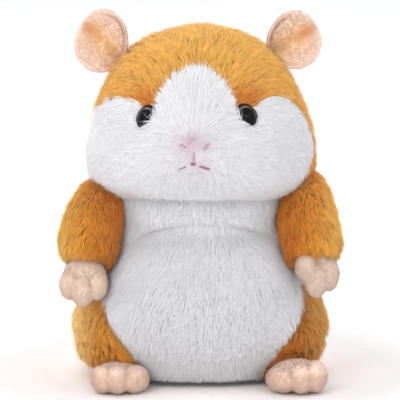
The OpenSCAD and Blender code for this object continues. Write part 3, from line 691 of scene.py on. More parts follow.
def body_shape(V):
    V = V.copy()
    x, y, z = V[:, 0] - BC, V[:, 1], V[:, 2]
    out = unit(V * arr([1, 1, 0]))
    front = np.clip(-y / 12, 0, 1)
    d = np.abs(x) - belly_half(z)
    groove = -2.0 * gauss(d, 3.2) * front * np.clip(z / 8, 0, 1)
    tum = 2.6 * np.exp(-(((z - 34) / 20) ** 2) - (x / 30) ** 2) * front
    thigh = 0
    for s in (-1, 1):
        thigh = thigh + 5.0 * np.exp(-(((V[:, 0] - s * 43) / 9.5) ** 2) - ((z - 13) / 7.5) ** 2) * (y < 4) * np.clip((8 - y) / 30, 0, 1)
        thigh = thigh + 1.6 * np.exp(-(((V[:, 0] - s * 50) / 9) ** 2) - ((z - 24) / 5.5) ** 2) * np.clip((20 - y) / 30, 0, 1)
    rim = 1.4 * gauss(z - 66, 6) * (y > 0)
    fold = -1.0 * (gauss(z - 18.5 - 0.10 * (np.abs(V[:, 0]) - 45), 1.3) + 0.8 * gauss(z - 9.0, 1.2)) * (np.abs(V[:, 0]) > 30) * (y < 25)
    V += out * (groove + tum + thigh + rim * 0 + fold)[:, None]
    V[:, 1] -= chest(V)
    V[:, 2] += 2.6 * np.clip(-V[:, 1] / 36, 0, 1) * gauss(V[:, 2], 5.0) * (np.abs(V[:, 0]) < 34)
    V += unit(V * arr([1, 1, 0.2])) * (vnoise(V, 14, 6) * 0.6 + vnoise(V, 6, 26) * 0.2)[:, None]
    return V


bv, bf = loft(BODY, 176, 120)
bv = body_shape(bv)


def belly_white(P):
    x, y, z = P[:, 0] - BC, P[:, 1], P[:, 2]
    nz = vnoise(P, 4.0, 9) * 1.0 + vnoise(P, 0.9, 34) * 1.5
    ang = np.degrees(np.arctan2(np.abs(x), -y))
    return (y < 0) & (np.abs(x) < belly_half(z) + nz) & ((z < 28) | (ang < 69 + nz * 1.5))


def body_colour(P):
    w = belly_white(P).astype(float)[:, None]
    nz = 0.5 + 0.5 * vnoise(P, 10.0, 12)[:, None]
    # painted highlight: the orange turns lighter higher up, with random tone
    hi = np.clip((P[:, 2:3] - 14) / 20, 0, 1)
    org = mix(ORANGE, ORANGE_LIT, (0.2 + 0.6 * nz) * hi)
    # painted shade: the front turns deeper orange, more on the right, the side away from the key light
    front = np.clip((-P[:, 1:2] - 8) / 20, 0, 1)
    org = mix(org, ORANGE_SHADE, (0.4 + 0.45 * (P[:, 0:1] > 0)) * front * np.clip((56 - np.abs(P[:, 0:1])) / 14, 0, 1) * (0.6 + 0.4 * nz))
    # painted highlight: the outer side turns pale yellow-orange, strongly on the left and slightly on the right
    outer = np.clip((np.abs(P[:, 0:1]) - 44) / 7, 0, 1) * np.clip((14 - P[:, 1:2]) / 24, 0, 1) ** 0.6
    org = mix(org, lin(244, 198, 122), outer * np.where(P[:, 0:1] < 0, 0.95, 0.1) * (0.8 + 0.2 * nz))
    # painted shade: the lower front of the right side is darkened
    org = org * (1 - 0.16 * np.clip((46 - P[:, 2:3]) / 10, 0, 1) * np.clip((8 - P[:, 1:2]) / 16, 0, 1) * np.clip(P[:, 0:1] / 10, 0, 1))
    # painted shade: the belly white turns greyer towards the bottom
    wh = WHITE * (0.975 - 0.04 * np.clip((50 - P[:, 2:3]) / 40, 0, 1))
    return mix(org, wh, w)


def body_comb(P):
    out = unit(P * arr([1, 1, 0]))
    c = arr([0, 0, -1.0]) + 0.15 * out
    w = belly_white(P).astype(float)[:, None]
    ball_dir = unit((P - arr([BC, 0, 44])) * arr([1, 0, 1]) + 1e-6)
    near = np.clip((np.hypot(P[:, 0:1] - BC, P[:, 2:3] - 40) - 6) / 25, 0, 1)
    edge = np.clip(1 - (belly_half(P[:, 2]) - np.abs(P[:, 0] - BC)) / 14, 0, 1)[:, None]
    cw = ball_dir * (0.25 + 0.6 * edge) * near + arr([0, 0, -0.85])
    leg = (np.exp(-(((np.abs(P[:, 0]) - 42) / 14) ** 2) - ((P[:, 2] - 12) / 11) ** 2) * (P[:, 1] < 0))[:, None]
    co = c * (1 - 0.75 * leg) + arr([1, 0, -0.25]) * np.sign(-P[:, 0:1]) * leg
    return np.where(w > 0.5, cw, co)


# painted shade: the backing is darker than the pile over it, so gaps between fibres read as shade
body_skin = new_mesh("body_skin", bv, bf, True, body_colour(bv) * np.where(belly_white(bv), 0.9, 0.78)[:, None])
body_skin.data.materials.append(skin_mat)
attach(body_skin, "body")
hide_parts("body_fur", "belly_fur", "body_stuffing")


def body_keep(P, N):
    return ((P[:, 2] < 68) & ((P[:, 2] > 3.6) | (np.hypot(P[:, 0], P[:, 1]) > 41))).astype(float)


def above_floor(Q):
    Q = Q.copy()
    low = Q[:, 2] < 0.6
    Q[low, 2] = 0.6 - 0.3 * np.tanh((0.6 - Q[low, 2]) / 2)
    return Q


def body_len(P):
    w = belly_white(P)
    t = P[:, 2] - crease_z(P[:, 0])
    cr = gauss(t, 4) * (P[:, 1] < -10)
    return np.where(w, 5.4, 6.6) * np.clip(0.62 + P[:, 2] / 30, 0.62, 1) * (1 - 0.25 * cr)


def body_lift(P):
    return np.where(belly_white(P), 0.30, 0.36) + 0.0 * P[:, 0]


def body_split(P, M, w):
    ang = np.degrees(np.arctan2(P[:, 0], -P[:, 1]))
    z = P[:, 2]
    out = []
    for s in ("left", "right"):
        kb = (P[:, 0] < BC) if s == "left" else (P[:, 0] >= BC)
        k = (P[:, 0] < 0) if s == "left" else (P[:, 0] >= 0)
        out += [("belly_pile_low_" + s, w & kb & (z < 32), True), ("belly_pile_" + s, w & kb & (z >= 32), True),
                ("body_pile_low_" + s, ~w & k & (np.abs(ang) < 112) & (z < 26), False), ("body_pile_" + s, ~w & k & (np.abs(ang) < 112) & (z >= 26), False),
                ("body_pile_back_low_" + s, ~w & k & (np.abs(ang) >= 112) & (z < 34), False), ("body_pile_back_" + s, ~w & k & (np.abs(ang) >= 112) & (z >= 34), False)]
    return out


nap("body", (bv, bf), (7.5, 5.2), body_comb, body_len, body_lift, FW, body_colour, belly_white, "body", 21, body_keep, above_floor, body_split,
    white_kw=dict(clump=(1.2, 0.2), big=(5, 0.08)), orange_kw=dict(clump=(1.9, 0.5), big=(5, 0.18)))

# ------------------------------------------------------------------ neck, between body and head
NECK = [[65.5, 37.0, 34.6, -0.6, 2.2], [70, 36.2, 33.8, -1.0, 2.2], [75, 36.2, 34.2, -1.6, 2.2], [80, 36.2, 34.2, -1.8, 2.2], [84, 35, 33, -1.6, 2.2], [87, 31, 28, -0.5, 2.2]]
nv_, nf_ = loft(NECK, 144, 30)
nv_[:, 1] -= chest(nv_)


def neck_white(P):
    return (P[:, 1] < -2) & (np.abs(P[:, 0] - 0.8) < 34.5 + vnoise(P, 4, 9))


def neck_colour(P):
    w = neck_white(P).astype(float)[:, None]
    # painted shade: the orange at the front of the neck, under the head, is mixed part way to the shaded orange
    return mix(mix(mix(ORANGE, ORANGE_LIT, 0.25), ORANGE_SHADE, 0.35 * (P[:, 1:2] < 0)), WHITE, w)


# painted shade: the backing is darker than the pile over it, so gaps between fibres read as shade
neck_skin = new_mesh("neck_skin", nv_, nf_, True, neck_colour(nv_) * np.where(neck_white(nv_), 0.9, 0.78)[:, None])
neck_skin.data.materials.append(skin_mat)


def neck_split(P, M, w):
    return [("neck_pile_front", w, True), ("neck_pile_back", ~w, False)]


blended = [neck_skin] + nap("neck", (nv_, nf_), (7.0, 4.6), lambda P: arr([0, 0, -1.0]) + 0 * P,
                            lambda P: 5.4 * (1 - 0.3 * gauss(P[:, 2] - crease_z(P[:, 0]) - 1, 3) * (P[:, 1] < -8)), lambda P: 0.36 + 0 * P[:, 0], FW,
                            neck_colour, neck_white, None, 31, lambda P, N: (P[:, 2] < 84.5).astype(float), None, neck_split,
                            white_kw=dict(clump=(1.2, 0.2), big=(5, 0.08)), orange_kw=dict(clump=(1.9, 0.5)))
for ob in blended:
    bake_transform(ob)

# ------------------------------------------------------------------ arms: bell-shaped sleeves that hang over the paws
for s, side in ((-1, "left"), (1, "right")):
    path = arr([[38.5, -6, 83.5], [42.5, -12, 80], [46.0, -18.5, 74], [48.1, -24.5, 67], [49.0, -29, 61.6], [49.2, -31, 58.4], [49.4, -31.6, 59.4]]) * arr([s, 1, 1])
    rad = arr([5.2, 8.6, 10.4, 11.0, 10.7, 9.2, 5.0])
    if s > 0:
        path = path + arr([[3.0, 0, 1.5], [3.0, 0, 1.2], [1.0, 0, 1.2], [0.2, 0, 0.8], [0.2, 0, 0.8], [0.2, 0, 1.0], [0.2, 0, 1.0]])
        rad = arr([7.0, 9.6, 10.6, 10.8, 10.4, 9.0, 5.0])
    t = np.linspace(0, 6, 55)
    C = catmull(np.hstack([path, rad[:, None]]), t)
    cuff = catmull(arr([[38.5, -6, 84], [42.5, -12.5, 79.6], [46, -19, 72], [48, -25.5, 64], [49, -30.5, 57.5], [49.4, -33.6, 52.5], [49.6, -35, 49]]) * arr([s, 1, 1]), t)
    tan = unit(np.gradient(cuff, axis=0))
    e1 = unit(np.cross(tan, arr([0, 0, 1.0])))
    e2 = np.cross(tan, e1)
    nu = 72
    a = 2 * math.pi * np.arange(nu) / nu
    V = (C[:, None, :3] + C[:, 3][:, None, None] * (e1[:, None] * np.cos(a)[None, :, None] + e2[:, None] * np.sin(a)[None, :, None])).reshape(-1, 3)
    F = [grid_faces(nu, 54)]
    m = len(V)
    V = np.vstack([V, C[0, :3] - tan[0] * 1.6, C[-1, :3] + tan[-1] * 0.6])
    j = np.arange(nu)
    F += [np.stack([(j + 1) % nu, j, np.full(nu, m)], 1), np.stack([54 * nu + j, 54 * nu + (j + 1) % nu, np.full(nu, m + 1)], 1)]
    mid = C[27, :3]
    # the inner lower corner of the cuff drapes further down
    drop = np.clip((64 - V[:, 2]) / 10, 0, 1) * np.clip((-s * (V[:, 0] - mid[0])) / 11, 0, 1)
    V[:, 2] -= 4.0 * drop
    V = V + vnoise(V, 9, 7)[:, None] * unit(V - mid) * 0.6
    F = outward(V, F)

    def arm_colour(P, s=s):
        nz = 0.5 + 0.5 * vnoise(P, 7.0, 12)[:, None]
        # painted highlight on the outer side of the sleeve and painted shade on the inner side towards the body, with a
        # little random tone
        outer = np.clip((s * P[:, 0:1] - 50) / 10, 0, 1)
        col = mix(ARM, ORANGE_LIT, 0.10 * nz + 0.9 * outer)
        return mix(col, ORANGE_SHADE, 0.85 * np.clip((52 - s * P[:, 0:1]) / 12, 0, 1) * (0.5 + 0.5 * nz))

    def arm_comb(P, s=s, mid=mid):
        return arr([0.22 * s, -0.15, -1.0]) + 0.25 * unit((P - mid) * arr([1, 1, 0]))

    # painted shade: the backing is darker than the pile over it, so gaps between fibres read as shade
    sk = new_mesh("arm_skin_" + side, V, F, True, arm_colour(V) * 0.85)
    sk.data.materials.append(skin_mat)
    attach(sk, "body")
    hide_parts("arm_" + side)
    nap("arm", (V, F), (0, 8.0), arm_comb, lambda P: 6.6 + 1.0 * vnoise(P, 8, 14), lambda P: 0.36 + 0 * P[:, 0], FW, arm_colour, lambda P: np.zeros(len(P), bool), "body", 40 + s,
        None, None, lambda P, M, w, side=side: [("arm_pile_front_" + side, P[:, 1] < -19, False), ("arm_pile_back_" + side, P[:, 1] >= -19, False)],
        orange_kw=dict(clump=(1.3, 0.4), big=(4.5, 0.22), root_shade=0.66, light=1.1, droop=0.12))


# ------------------------------------------------------------------ paws and feet: stuffed short-pile cloth, one lump per finger or toe
def stuffed_lumps(name, lumps, voxel, smooth):
    """One soft form out of overlapping ellipsoids ((centre), (half sizes), turn about z, turn about x)."""
    Vs, Fs, off = [], [], 0
    for c, h, rz, rx in lumps:
        D, F = ball(28, 20)
        V = (D * arr(h)) @ rot("X", math.radians(rx)).T @ rot("Z", math.radians(rz)).T + arr(c)
        Vs.append(V)
        Fs.append(tris_of(F) + off)
        off += len(V)
    ob = new_mesh(name, np.vstack(Vs), np.concatenate(Fs))
    r = ob.modifiers.new("r", "REMESH")
    r.mode = "VOXEL"
    r.voxel_size = voxel * MM
    sm = ob.modifiers.new("s", "SMOOTH")
    sm.factor = 0.5
    sm.iterations = smooth
    dg = bpy.context.evaluated_depsgraph_get()
    e = ob.evaluated_get(dg)
    me = bpy.data.meshes.new_from_object(e)
    n = len(me.vertices)
    V = np.empty(n * 3, np.float32)
    me.vertices.foreach_get("co", V)
    V = V.reshape(-1, 3).astype(float) / MM
    quads, tris = [], []
    for p in me.polygons:
        (quads if len(p.vertices) == 4 else tris).append(tuple(p.vertices))
    F = [np.array(quads, np.int32)] + ([np.array(tris, np.int32)] if tris else [])
    bpy.data.objects.remove(ob)
    bpy.data.meshes.remove(me)
    return V, F


def filled(V, F, pin, frames=20, pressure=7.0, cap=0.6):
    """A short cloth run with pressure from inside, worked at a hundred times size; seams (pin near 1) hold and no point moves more than cap."""
    ob = new_mesh("cloth_run", V * 100.0, F)
    g = ob.vertex_groups.new(name="seam")
    for i, w in enumerate(pin.tolist()):
        g.add([i], w, "REPLACE")
    c = ob.modifiers.new("cloth", "CLOTH")
    st = c.settings
    st.quality = 5
    st.mass = 0.3
    st.tension_stiffness = st.compression_stiffness = 15
    st.shear_stiffness = 7
    st.bending_stiffness = 0.5
    st.use_pressure = True
    st.uniform_pressure_force = pressure
    st.effector_weights.gravity = 0.0
    st.vertex_group_mass = "seam"
    st.pin_stiffness = 1.0
    c.point_cache.frame_start = 1
    c.point_cache.frame_end = frames
    sc = bpy.context.scene
    for k in range(1, frames + 1):
        sc.frame_set(k)
    me = ob.evaluated_get(bpy.context.evaluated_depsgraph_get()).data
    Q = np.empty(len(me.vertices) * 3, np.float32)
    me.vertices.foreach_get("co", Q)
    Q = Q.reshape(-1, 3).astype(float) / (100.0 * MM)
    sc.frame_set(1)
    bpy.data.objects.remove(ob)
    if len(Q) != len(V) or not np.isfinite(Q).all():
        return V
    D = Q - V
    m = np.linalg.norm(D, axis=1, keepdims=True)
    if m.mean() > 2 * cap:
        return V
    return V + D * np.minimum(1, cap / np.maximum(m, 1e-9))


def finer(V, F):
    """One Catmull-Clark step."""
    ob = new_mesh("fine", V, F)
    ob.modifiers.new("s", "SUBSURF").levels = 1
    me = ob.evaluated_get(bpy.context.evaluated_depsgraph_get()).data
    Q = np.empty(len(me.vertices) * 3, np.float32)
    me.vertices.foreach_get("co", Q)
    quads = np.array([tuple(p.vertices) for p in me.polygons], np.int32)
    bpy.data.objects.remove(ob)
    return Q.reshape(-1, 3).astype(float) / MM, [quads]


def cavity(V, F, rounds=3):
    """How hollow the surface is at each vertex, about 0..1."""
    T = tris_of(F)
    E = np.concatenate([T[:, [0, 1]], T[:, [1, 2]], T[:, [2, 0]]])
    nrm = vertex_normals(V, F)
    A = V.copy()
    cnt = np.zeros(len(V))
    np.add.at(cnt, E[:, 0], 1)
    np.add.at(cnt, E[:, 1], 1)
    for _ in range(rounds * 4):
        B = np.zeros_like(A)
        np.add.at(B, E[:, 0], A[E[:, 1]])
        np.add.at(B, E[:, 1], A[E[:, 0]])
        A = 0.5 * A + 0.5 * B / np.maximum(cnt, 1)[:, None]
    return ((A - V) * nrm).sum(1)


def stuffed(name, V, F, body, node, seedn, base, seam_and_shade, floor=False, fuzz=1.0, per=9.0, mat=None):
    if floor:
        V = V.copy()
        V[:, 2] = np.where(V[:, 2] < 0.8, 0.25 + 0.55 * np.clip(V[:, 2] + 1.2, 0, 2) / 2, V[:, 2])
    V = V + vertex_normals(V, F) * (vnoise(V, 2.6, 15) * 0.10 + vnoise(V, 6, 18) * 0.15)[:, None]
    # hollows turn darker: the dark seam lines between fingers and toes, plus painted shade in the creases
    cav = cavity(V, F)
    w = np.clip((cav - 0.02) / 0.16, 0, 1)[:, None]
    col = mix(base, seam_and_shade, w * 0.75)
    col = col * (1 + 0.03 * vnoise(V, 3.0, 16))[:, None]
    # painted highlight: the feet turn paler on top, above about 8 mm
    if floor:
        col = mix(col, lin(246, 220, 204), 0.8 * np.clip((V[:, 2:3] - 8.0) / 3.0, 0, 1))
    ob = new_mesh(name, V, F, True, col)
    ob.data.materials.append(mat or paw_mat)
    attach(ob, body)
    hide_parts(node)
    PER["now"] = per * DENS
    P, Nn = scatter(V, F, PER["now"], lambda P, N: (P[:, 2] > 0.9).astype(float), seedn)
    cc = col[nearest(P, V)]
    fz = pile(name + "_nap", P, Nn, arr([0, -0.3, -1]) + 0 * P, fuzz, 0.55, 0.16, np.clip(cc * 1.04, 0, 0.93), short_mat, clump=(0.7, 0.2), big=(2.5, 0.1),
              root_shade=0.99, light=1.02, bury=0.2, hue=0.004, tone=0.02, droop=0.0, keep_out=above_floor, soft=0.3)
    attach(fz, body)
    return ob


PAWS = {
    "left": [((-50.8, -32.5, 49.2), (9.0, 7.4, 8.6), 0, 0),
             ((-57.2, -36.2, 45.0), (4.2, 5.0, 6.4), 14, 10), ((-51.4, -38.2, 42.8), (4.6, 5.2, 7.0), 0, 8), ((-45.0, -36.8, 45.0), (4.2, 5.0, 6.6), -8, 8)],
    "right": [((50.8, -32.0, 52.8), (8.8, 7.4, 8.2), 0, 0),
              ((46.2, -38.2, 53.4), (4.1, 5.0, 6.6), 10, 16), ((50.8, -38.2, 47.4), (4.7, 5.0, 7.4), 4, 6), ((56.4, -36.0, 49.6), (4.2, 4.8, 7.2), -14, 4)],
}
FEET = {
    "left": [((-35.5, -42.5, 6.0), (10.5, 12.0, 5.6), 0, 0),
             ((-42.6, -50.0, 6.0), (4.5, 8.0, 5.6), 14, -3), ((-36.0, -51.6, 6.2), (4.8, 8.6, 6.0), 4, -3), ((-28.4, -49.2, 5.9), (5.8, 8.6, 5.6), -16, -3)],
    "right": [((41.5, -42.5, 6.8), (10.5, 12.0, 6.2), 0, 0),
              ((35.6, -49.6, 5.9), (6.3, 8.8, 5.5), 20, -3), ((43.8, -51.6, 6.8), (5.0, 8.4, 6.5), -4, -3), ((50.4, -49.6, 7.2), (4.6, 8.0, 6.8), -16, -3)],
}
for s, side in ((-1, "left"), (1, "right")):
    for part, lumps, cloth in (("paw", PAWS, PAW), ("foot", FEET, FOOT)):
        V, F = stuffed_lumps(part, lumps[side], 0.8 if part == "paw" else 0.7, 6 if part == "paw" else 9)
        if part == "paw":
            V = V + vertex_normals(V, F) * (vnoise(V, 4.0, 27) * 0.12)[:, None]
            V = filled(V, F, np.clip(cavity(V, F, 1) / 0.10, 0, 1) * 0.9)
        V, F = finer(V, F)
        # painted shade: the right paw is 7 % darker than the left
        stuffed(part + "_cloth_" + side, V, F, "body", part + "_" + side, (60 if part == "paw" else 70) + s, cloth * (0.93 if part == "paw" and s > 0 else 1.0), PAW_SEAM_AND_SHADE, floor=part == "foot")

# ------------------------------------------------------------------ ears: two cloth layers folded along the middle into a cup
EAR_R = {"left": ([0, 45, 90, 135, 180, 225, 270, 315], [11.8, 13.1, 13.4, 11.3, 10.8, 12.4, 13.9, 13.2]),
         "right": ([0, 45, 90, 135, 180, 225, 270, 315], [11.9, 11.9, 12.7, 11.6, 12.1, 11.8, 12.4, 12.3])}
EAR_AT = {"left": ((-44.0, 0.5, 149.5), 134.0), "right": ((41.7, 0.5, 149.6), 30.0)}
for s, side in ((-1, "left"), (1, "right")):
    nr, nu = 30, 112
    rr = np.linspace(0.02, 1, nr)
    a = 2 * math.pi * np.arange(nu) / nu
    R, A = np.meshgrid(rr, a, indexing="ij")
    ang, rad = EAR_R[side]
    rt = np.interp(np.degrees(a), list(ang) + [360], list(rad) + [rad[0]])
    rt = (rt + np.roll(rt, 3) + np.roll(rt, -3) + np.roll(rt, 6) + np.roll(rt, -6)) / 5
    ex, ez = R * rt * np.cos(A), R * rt * np.sin(A)
    phi = math.radians(EAR_AT[side][1])
    u = ex * math.cos(phi) + ez * math.sin(phi)
    v = -ex * math.sin(phi) + ez * math.cos(phi)
    pinch = np.clip((-u - 1) / 11, 0, 1)
    crown = np.clip(-s * np.cos(A) * 1.3, 0, 1)
    fwd = 5.4 * (np.abs(v) / 13) ** 1.4 * (1 + 0.5 * pinch) + 1.6 * np.clip(u / 13, 0, 1) ** 2 + 2.2 * pinch**2
    fwd += 1.8 * np.clip((R - 0.80) / 0.20, 0, 1) ** 2 * crown
    fwd -= 1.5 * gauss(v, 2.0) * (0.35 + 0.65 * pinch)
    # the half nearer the crown folds over further than the outer half
    fwd += 1.6 * np.clip(-s * v * np.sign(math.cos(phi)) * -1 / 13, 0, 1) ** 2
    yf = 2.6 - fwd
    Vf = np.stack([ex, yf, ez], 2).reshape(-1, 3)
    thick = 1.5 * np.sqrt(np.clip(1 - R**8, 0, 1)) + 0.5
    Vb = np.stack([ex * (1 + 0.02 * R), yf + thick, ez * (1 + 0.02 * R)], 2).reshape(-1, 3)
    Vf = np.vstack([Vf, [[0, 3.5, 0]]])
    Vb = np.vstack([Vb, [[0, 5.5, 0]]])
    m = len(Vf)
    V = np.vstack([Vf, Vb])
    j = np.arange(nu)
    G = grid_faces(nu, nr - 1)
    F = [G, G[:, ::-1] + m, np.stack([(nr - 1) * nu + j, (nr - 1) * nu + (j + 1) % nu, m + (nr - 1) * nu + (j + 1) % nu, m + (nr - 1) * nu + j], 1)[:, ::-1],
         np.stack([(j + 1) % nu, j, np.full(nu, m - 1)], 1), np.stack([m + j, m + (j + 1) % nu, np.full(nu, 2 * m - 1)], 1)]
    F = outward(V, F)
    U = np.concatenate([u.ravel(), [0], u.ravel(), [0]])[:, None]
    W = np.concatenate([v.ravel(), [0], v.ravel(), [0]])[:, None]
    RR = np.concatenate([R.ravel(), [0], R.ravel(), [0]])[:, None]
    isf = (np.arange(len(V)) < m)[:, None]
    cf = mix(EAR_RIM, EAR_IN, gauss(W, 5.6) * np.clip((10 - U) / 6, 0, 1) * np.clip((U + 15) / 8, 0.3, 1))
    cf = mix(cf, EAR_BASE, 0.7 * np.clip((-U - 3) / 9, 0, 1) * gauss(W, 7))
    cf = mix(cf, EAR_SPOT, 0.8 * np.exp(-(((U - 7.4) / 3.7) ** 2) - ((W - 0.2) / 2.9) ** 2))
    CR = np.concatenate([crown.ravel(), [0], crown.ravel(), [0]])[:, None]
    # painted shade: a darker line along the fold near the rim on the crown side
    cf = mix(cf, lin(216, 164, 142), 0.8 * gauss(RR - 0.86, 0.06) * CR)
    col = np.where(isf, cf, EAR_RIM * arr([1.0, 0.95, 0.94]))
    V = V + vnoise(V, 6, 17)[:, None] * arr([0.1, 0.35, 0.1])
    at = arr(EAR_AT[side][0])
    V = V @ rot("Z", math.radians(9 * s)).T @ rot("X", math.radians(-4)).T + at
    ob = new_mesh("ear_cloth_" + side, V, F, True, col)
    ob.data.materials.append(ear_mat)
    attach(ob, "head")
    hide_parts("ear_" + side, "ear_lining_" + side)
    PER["now"] = 9.0 * DENS
    P, Nn = scatter(V, F, PER["now"], None, 80 + s)
    cc = col[nearest(P, V)]
    fz = pile("ear_nap_" + side, P, Nn, unit(P - at) + arr([0, 0, 0.3]), 1.2, 0.5, 0.16, np.clip(cc * 1.03, 0, 0.93), short_mat,
              clump=(0.8, 0.2), big=(2.5, 0.1), root_shade=0.99, light=1.02, bury=0.2, hue=0.004, tone=0.02, droop=0, soft=0.3)
    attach(fz, "head")

# ------------------------------------------------------------------ eyes
eye_mat, nt, b = node_mat("eye_black")
lw = put(nt, "ShaderNodeAttribute", attribute_name="Col")
n = noise_of(nt, 400.0, 2.0)
r = ramp(nt, n.outputs["Fac"], [(0.3, (0.8, 0.8, 0.8)), (0.7, (1.0, 1.0, 1.0))])
mm = put(nt, "ShaderNodeMix", data_type="RGBA", blend_type="MULTIPLY")
mm.inputs["Factor"].default_value = 1.0
nt.links.new(lw.outputs["Color"], mm.inputs[6])
nt.links.new(r.outputs["Color"], mm.inputs[7])
nt.links.new(mm.outputs[2], b.inputs["Base Color"])
b.inputs["Roughness"].default_value = 0.06
b.inputs["Specular IOR Level"].default_value = 0.12
for s, side in ((-1, "left"), (1, "right")):
    nu, nvv = 64, 30
    ph = np.linspace(0.03, math.pi / 2, nvv)
    prof = [(math.sin(p) * 4.35, -math.cos(p) * 3.6 - 0.8) for p in ph] + [(4.4, -0.62), (4.55, -0.75), (4.8, -0.8), (5.0, -0.62), (5.1, -0.2), (EYE_R + 0.1, 0.5), (4.6, 0.95), (1.6, 1.0), (1.5, 9.0), (0.05, 9.0)]
    prof = arr(prof)
    a = 2 * math.pi * np.arange(nu) / nu
    V = np.stack([prof[:, 0:1] * np.cos(a), np.repeat(prof[:, 1:2], nu, 1), prof[:, 0:1] * np.sin(a) * 1.08], 2).reshape(-1, 3)
    F = [grid_faces(nu, len(prof) - 1)]
    k = len(V)
    V = np.vstack([V, [[0, -4.4, 0], [0, 9.0, 0]]])
    j = np.arange(nu)
    F += [np.stack([(j + 1) % nu, j, np.full(nu, k)], 1), np.stack([(len(prof) - 1) * nu + j, (len(prof) - 1) * nu + (j + 1) % nu, np.full(nu, k + 1)], 1)]
    F = outward(V, F)
    eb, ea, lean = EYE_SHAPE[0 if s < 0 else 1]
    V = (V * arr([eb / 4.9, 1.0, ea / 5.3])) @ rot("Y", -s * lean).T
    V = V @ rot("X", math.radians(-6)).T @ rot("Z", math.radians(18 * s)).T
    e = EYES[0 if s < 0 else 1]
    V = yawed(V + arr([e[0], e[1] + 1.0, e[2]]))
    pr = np.concatenate([np.repeat(prof[:, 0], nu), [0, 0]])
    # painted reflection: a grey crescent on the upper half of the dome stands in for the top light's reflection; the
    # outer rim is plain dark grey
    upper = np.clip(np.concatenate([np.tile(np.sin(a), len(prof)), [0, 0]]) * 1.6 - 0.15, 0, 1)
    crescent_and_rim = (0.9 * gauss(pr - 3.75, 0.32) * upper + 0.25 * np.clip((pr - 4.6) / 0.3, 0, 1))[:, None]
    ob = new_mesh("eye_dome_" + side, V, F, True, mix(arr([0.003, 0.0027, 0.0025]), arr([0.17, 0.155, 0.145]), crescent_and_rim))
    ob.data.materials.append(eye_mat)
    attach(ob, "head")
    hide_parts("eye_" + side)

# ------------------------------------------------------------------ embroidery
thread_mat = plastic_mat("thread", PINK, 0.55, 0.12, 0, 900, 0.2)
thread_mat.node_tree.nodes["Principled BSDF"].inputs["Sheen Weight"].default_value = 0.3
dark_thread = plastic_mat("thread_dark", PINK_DARK, 0.55, 0.12, 0, 900, 0.2)


def tubes(name, lines, r, mat, body="head", nodes=()):
    Vs, Fs, off = [], [], 0
    nu = 8
    a = 2 * math.pi * np.arange(nu) / nu
    for ln in lines:
        C = arr(ln)
        t = unit(np.gradient(C, axis=0))
        e1 = unit(np.cross(t, arr([0.13, 0.9, 0.21])))
        e2 = np.cross(t, e1)
        taper = np.sin(np.linspace(0.25, math.pi - 0.25, len(C))) ** 0.4
        V = (C[:, None] + (r * taper)[:, None, None] * (e1[:, None] * np.cos(a)[None, :, None] + e2[:, None] * np.sin(a)[None, :, None])).reshape(-1, 3)
        V = np.vstack([V, C[0] - t[0] * r * 0.5, C[-1] + t[-1] * r * 0.5])
        m = len(C) * nu
        j = np.arange(nu)
        Fs.append(tris_of([grid_faces(nu, len(C) - 1)[:, ::-1], np.stack([j, (j + 1) % nu, np.full(nu, m)], 1),
                           np.stack([m - nu + (j + 1) % nu, m - nu + j, np.full(nu, m + 1)], 1)]) + off)
        Vs.append(V)
        off += len(V)
    ob = new_mesh(name, yawed(np.vstack(Vs)), np.concatenate(Fs))
    ob.data.materials.append(mat)
    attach(ob, body)
    if nodes:
        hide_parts(*nodes)
    return ob


kd = KDTree(len(hv))
for i, v in enumerate(hv):
    kd.insert(v, i)
kd.balance()


def on_face(x, z, up=1.0):
    """Point on the front of the head at x, z, standing up mm proud."""
    y = -50.0
    for _ in range(6):
        co, i, d = kd.find((x, y, z))
        y = co[1]
    return arr([x, y - up, z])


def stitch(p, q, up=1.6, n=9, arch=0.35):
    t = np.linspace(0, 1, n)
    pts = [on_face(p[0] + (q[0] - p[0]) * k, p[1] + (q[1] - p[1]) * k, up) for k in t]
    y = np.polyval(np.polyfit(t, [v[1] for v in pts], 2), t)
    return [(v[0], yy - arch * math.sin(math.pi * k), v[2]) for v, yy, k in zip(pts, y, t)]


def satin(p, q, w, step=0.42, up=1.8):
    """Satin bar from p to q, of width w, as a row of threads across it."""
    p, q = arr(p), arr(q)
    d = q - p
    L = np.linalg.norm(d)
    d = d / L
    nrm = arr([-d[1], d[0]])
    out = []
    k = 0.0
    while k <= L:
        c = p + d * k
        ww = w * (0.65 + 0.35 * math.sin(math.pi * k / L))
        out.append(stitch(c - nrm * ww / 2 - d * 0.25, c + nrm * ww / 2 + d * 0.25, up, 7, 0.4))
        k += step
    return out


NX = -0.9
lines = satin((NX - 5.6, 108.4), (NX - 3.4, 107.4), 0.9, up=0.9) + satin((NX + 6.4, 109.0), (NX + 4.6, 106.6), 1.3, up=1.5)
lines += satin((NX + 0.2, 105.2), (NX, 101.6), 0.6, up=0.9)
tubes("nose_stitches", lines, 0.22, thread_mat, nodes=("nose_embroidery",))
lines = satin((NX - 0.9, 100.5), (NX + 1.1, 100.3), 1.4, up=1.5)
lines += satin((NX + 2.8, 99.4), (NX + 7.0, 98.0), 0.9, up=1.5) + satin((NX - 3.4, 99.0), (NX - 7.0, 97.6), 0.6, up=0.8)
tubes("mouth_stitches", lines, 0.22, dark_thread, nodes=("mouth_embroidery",))

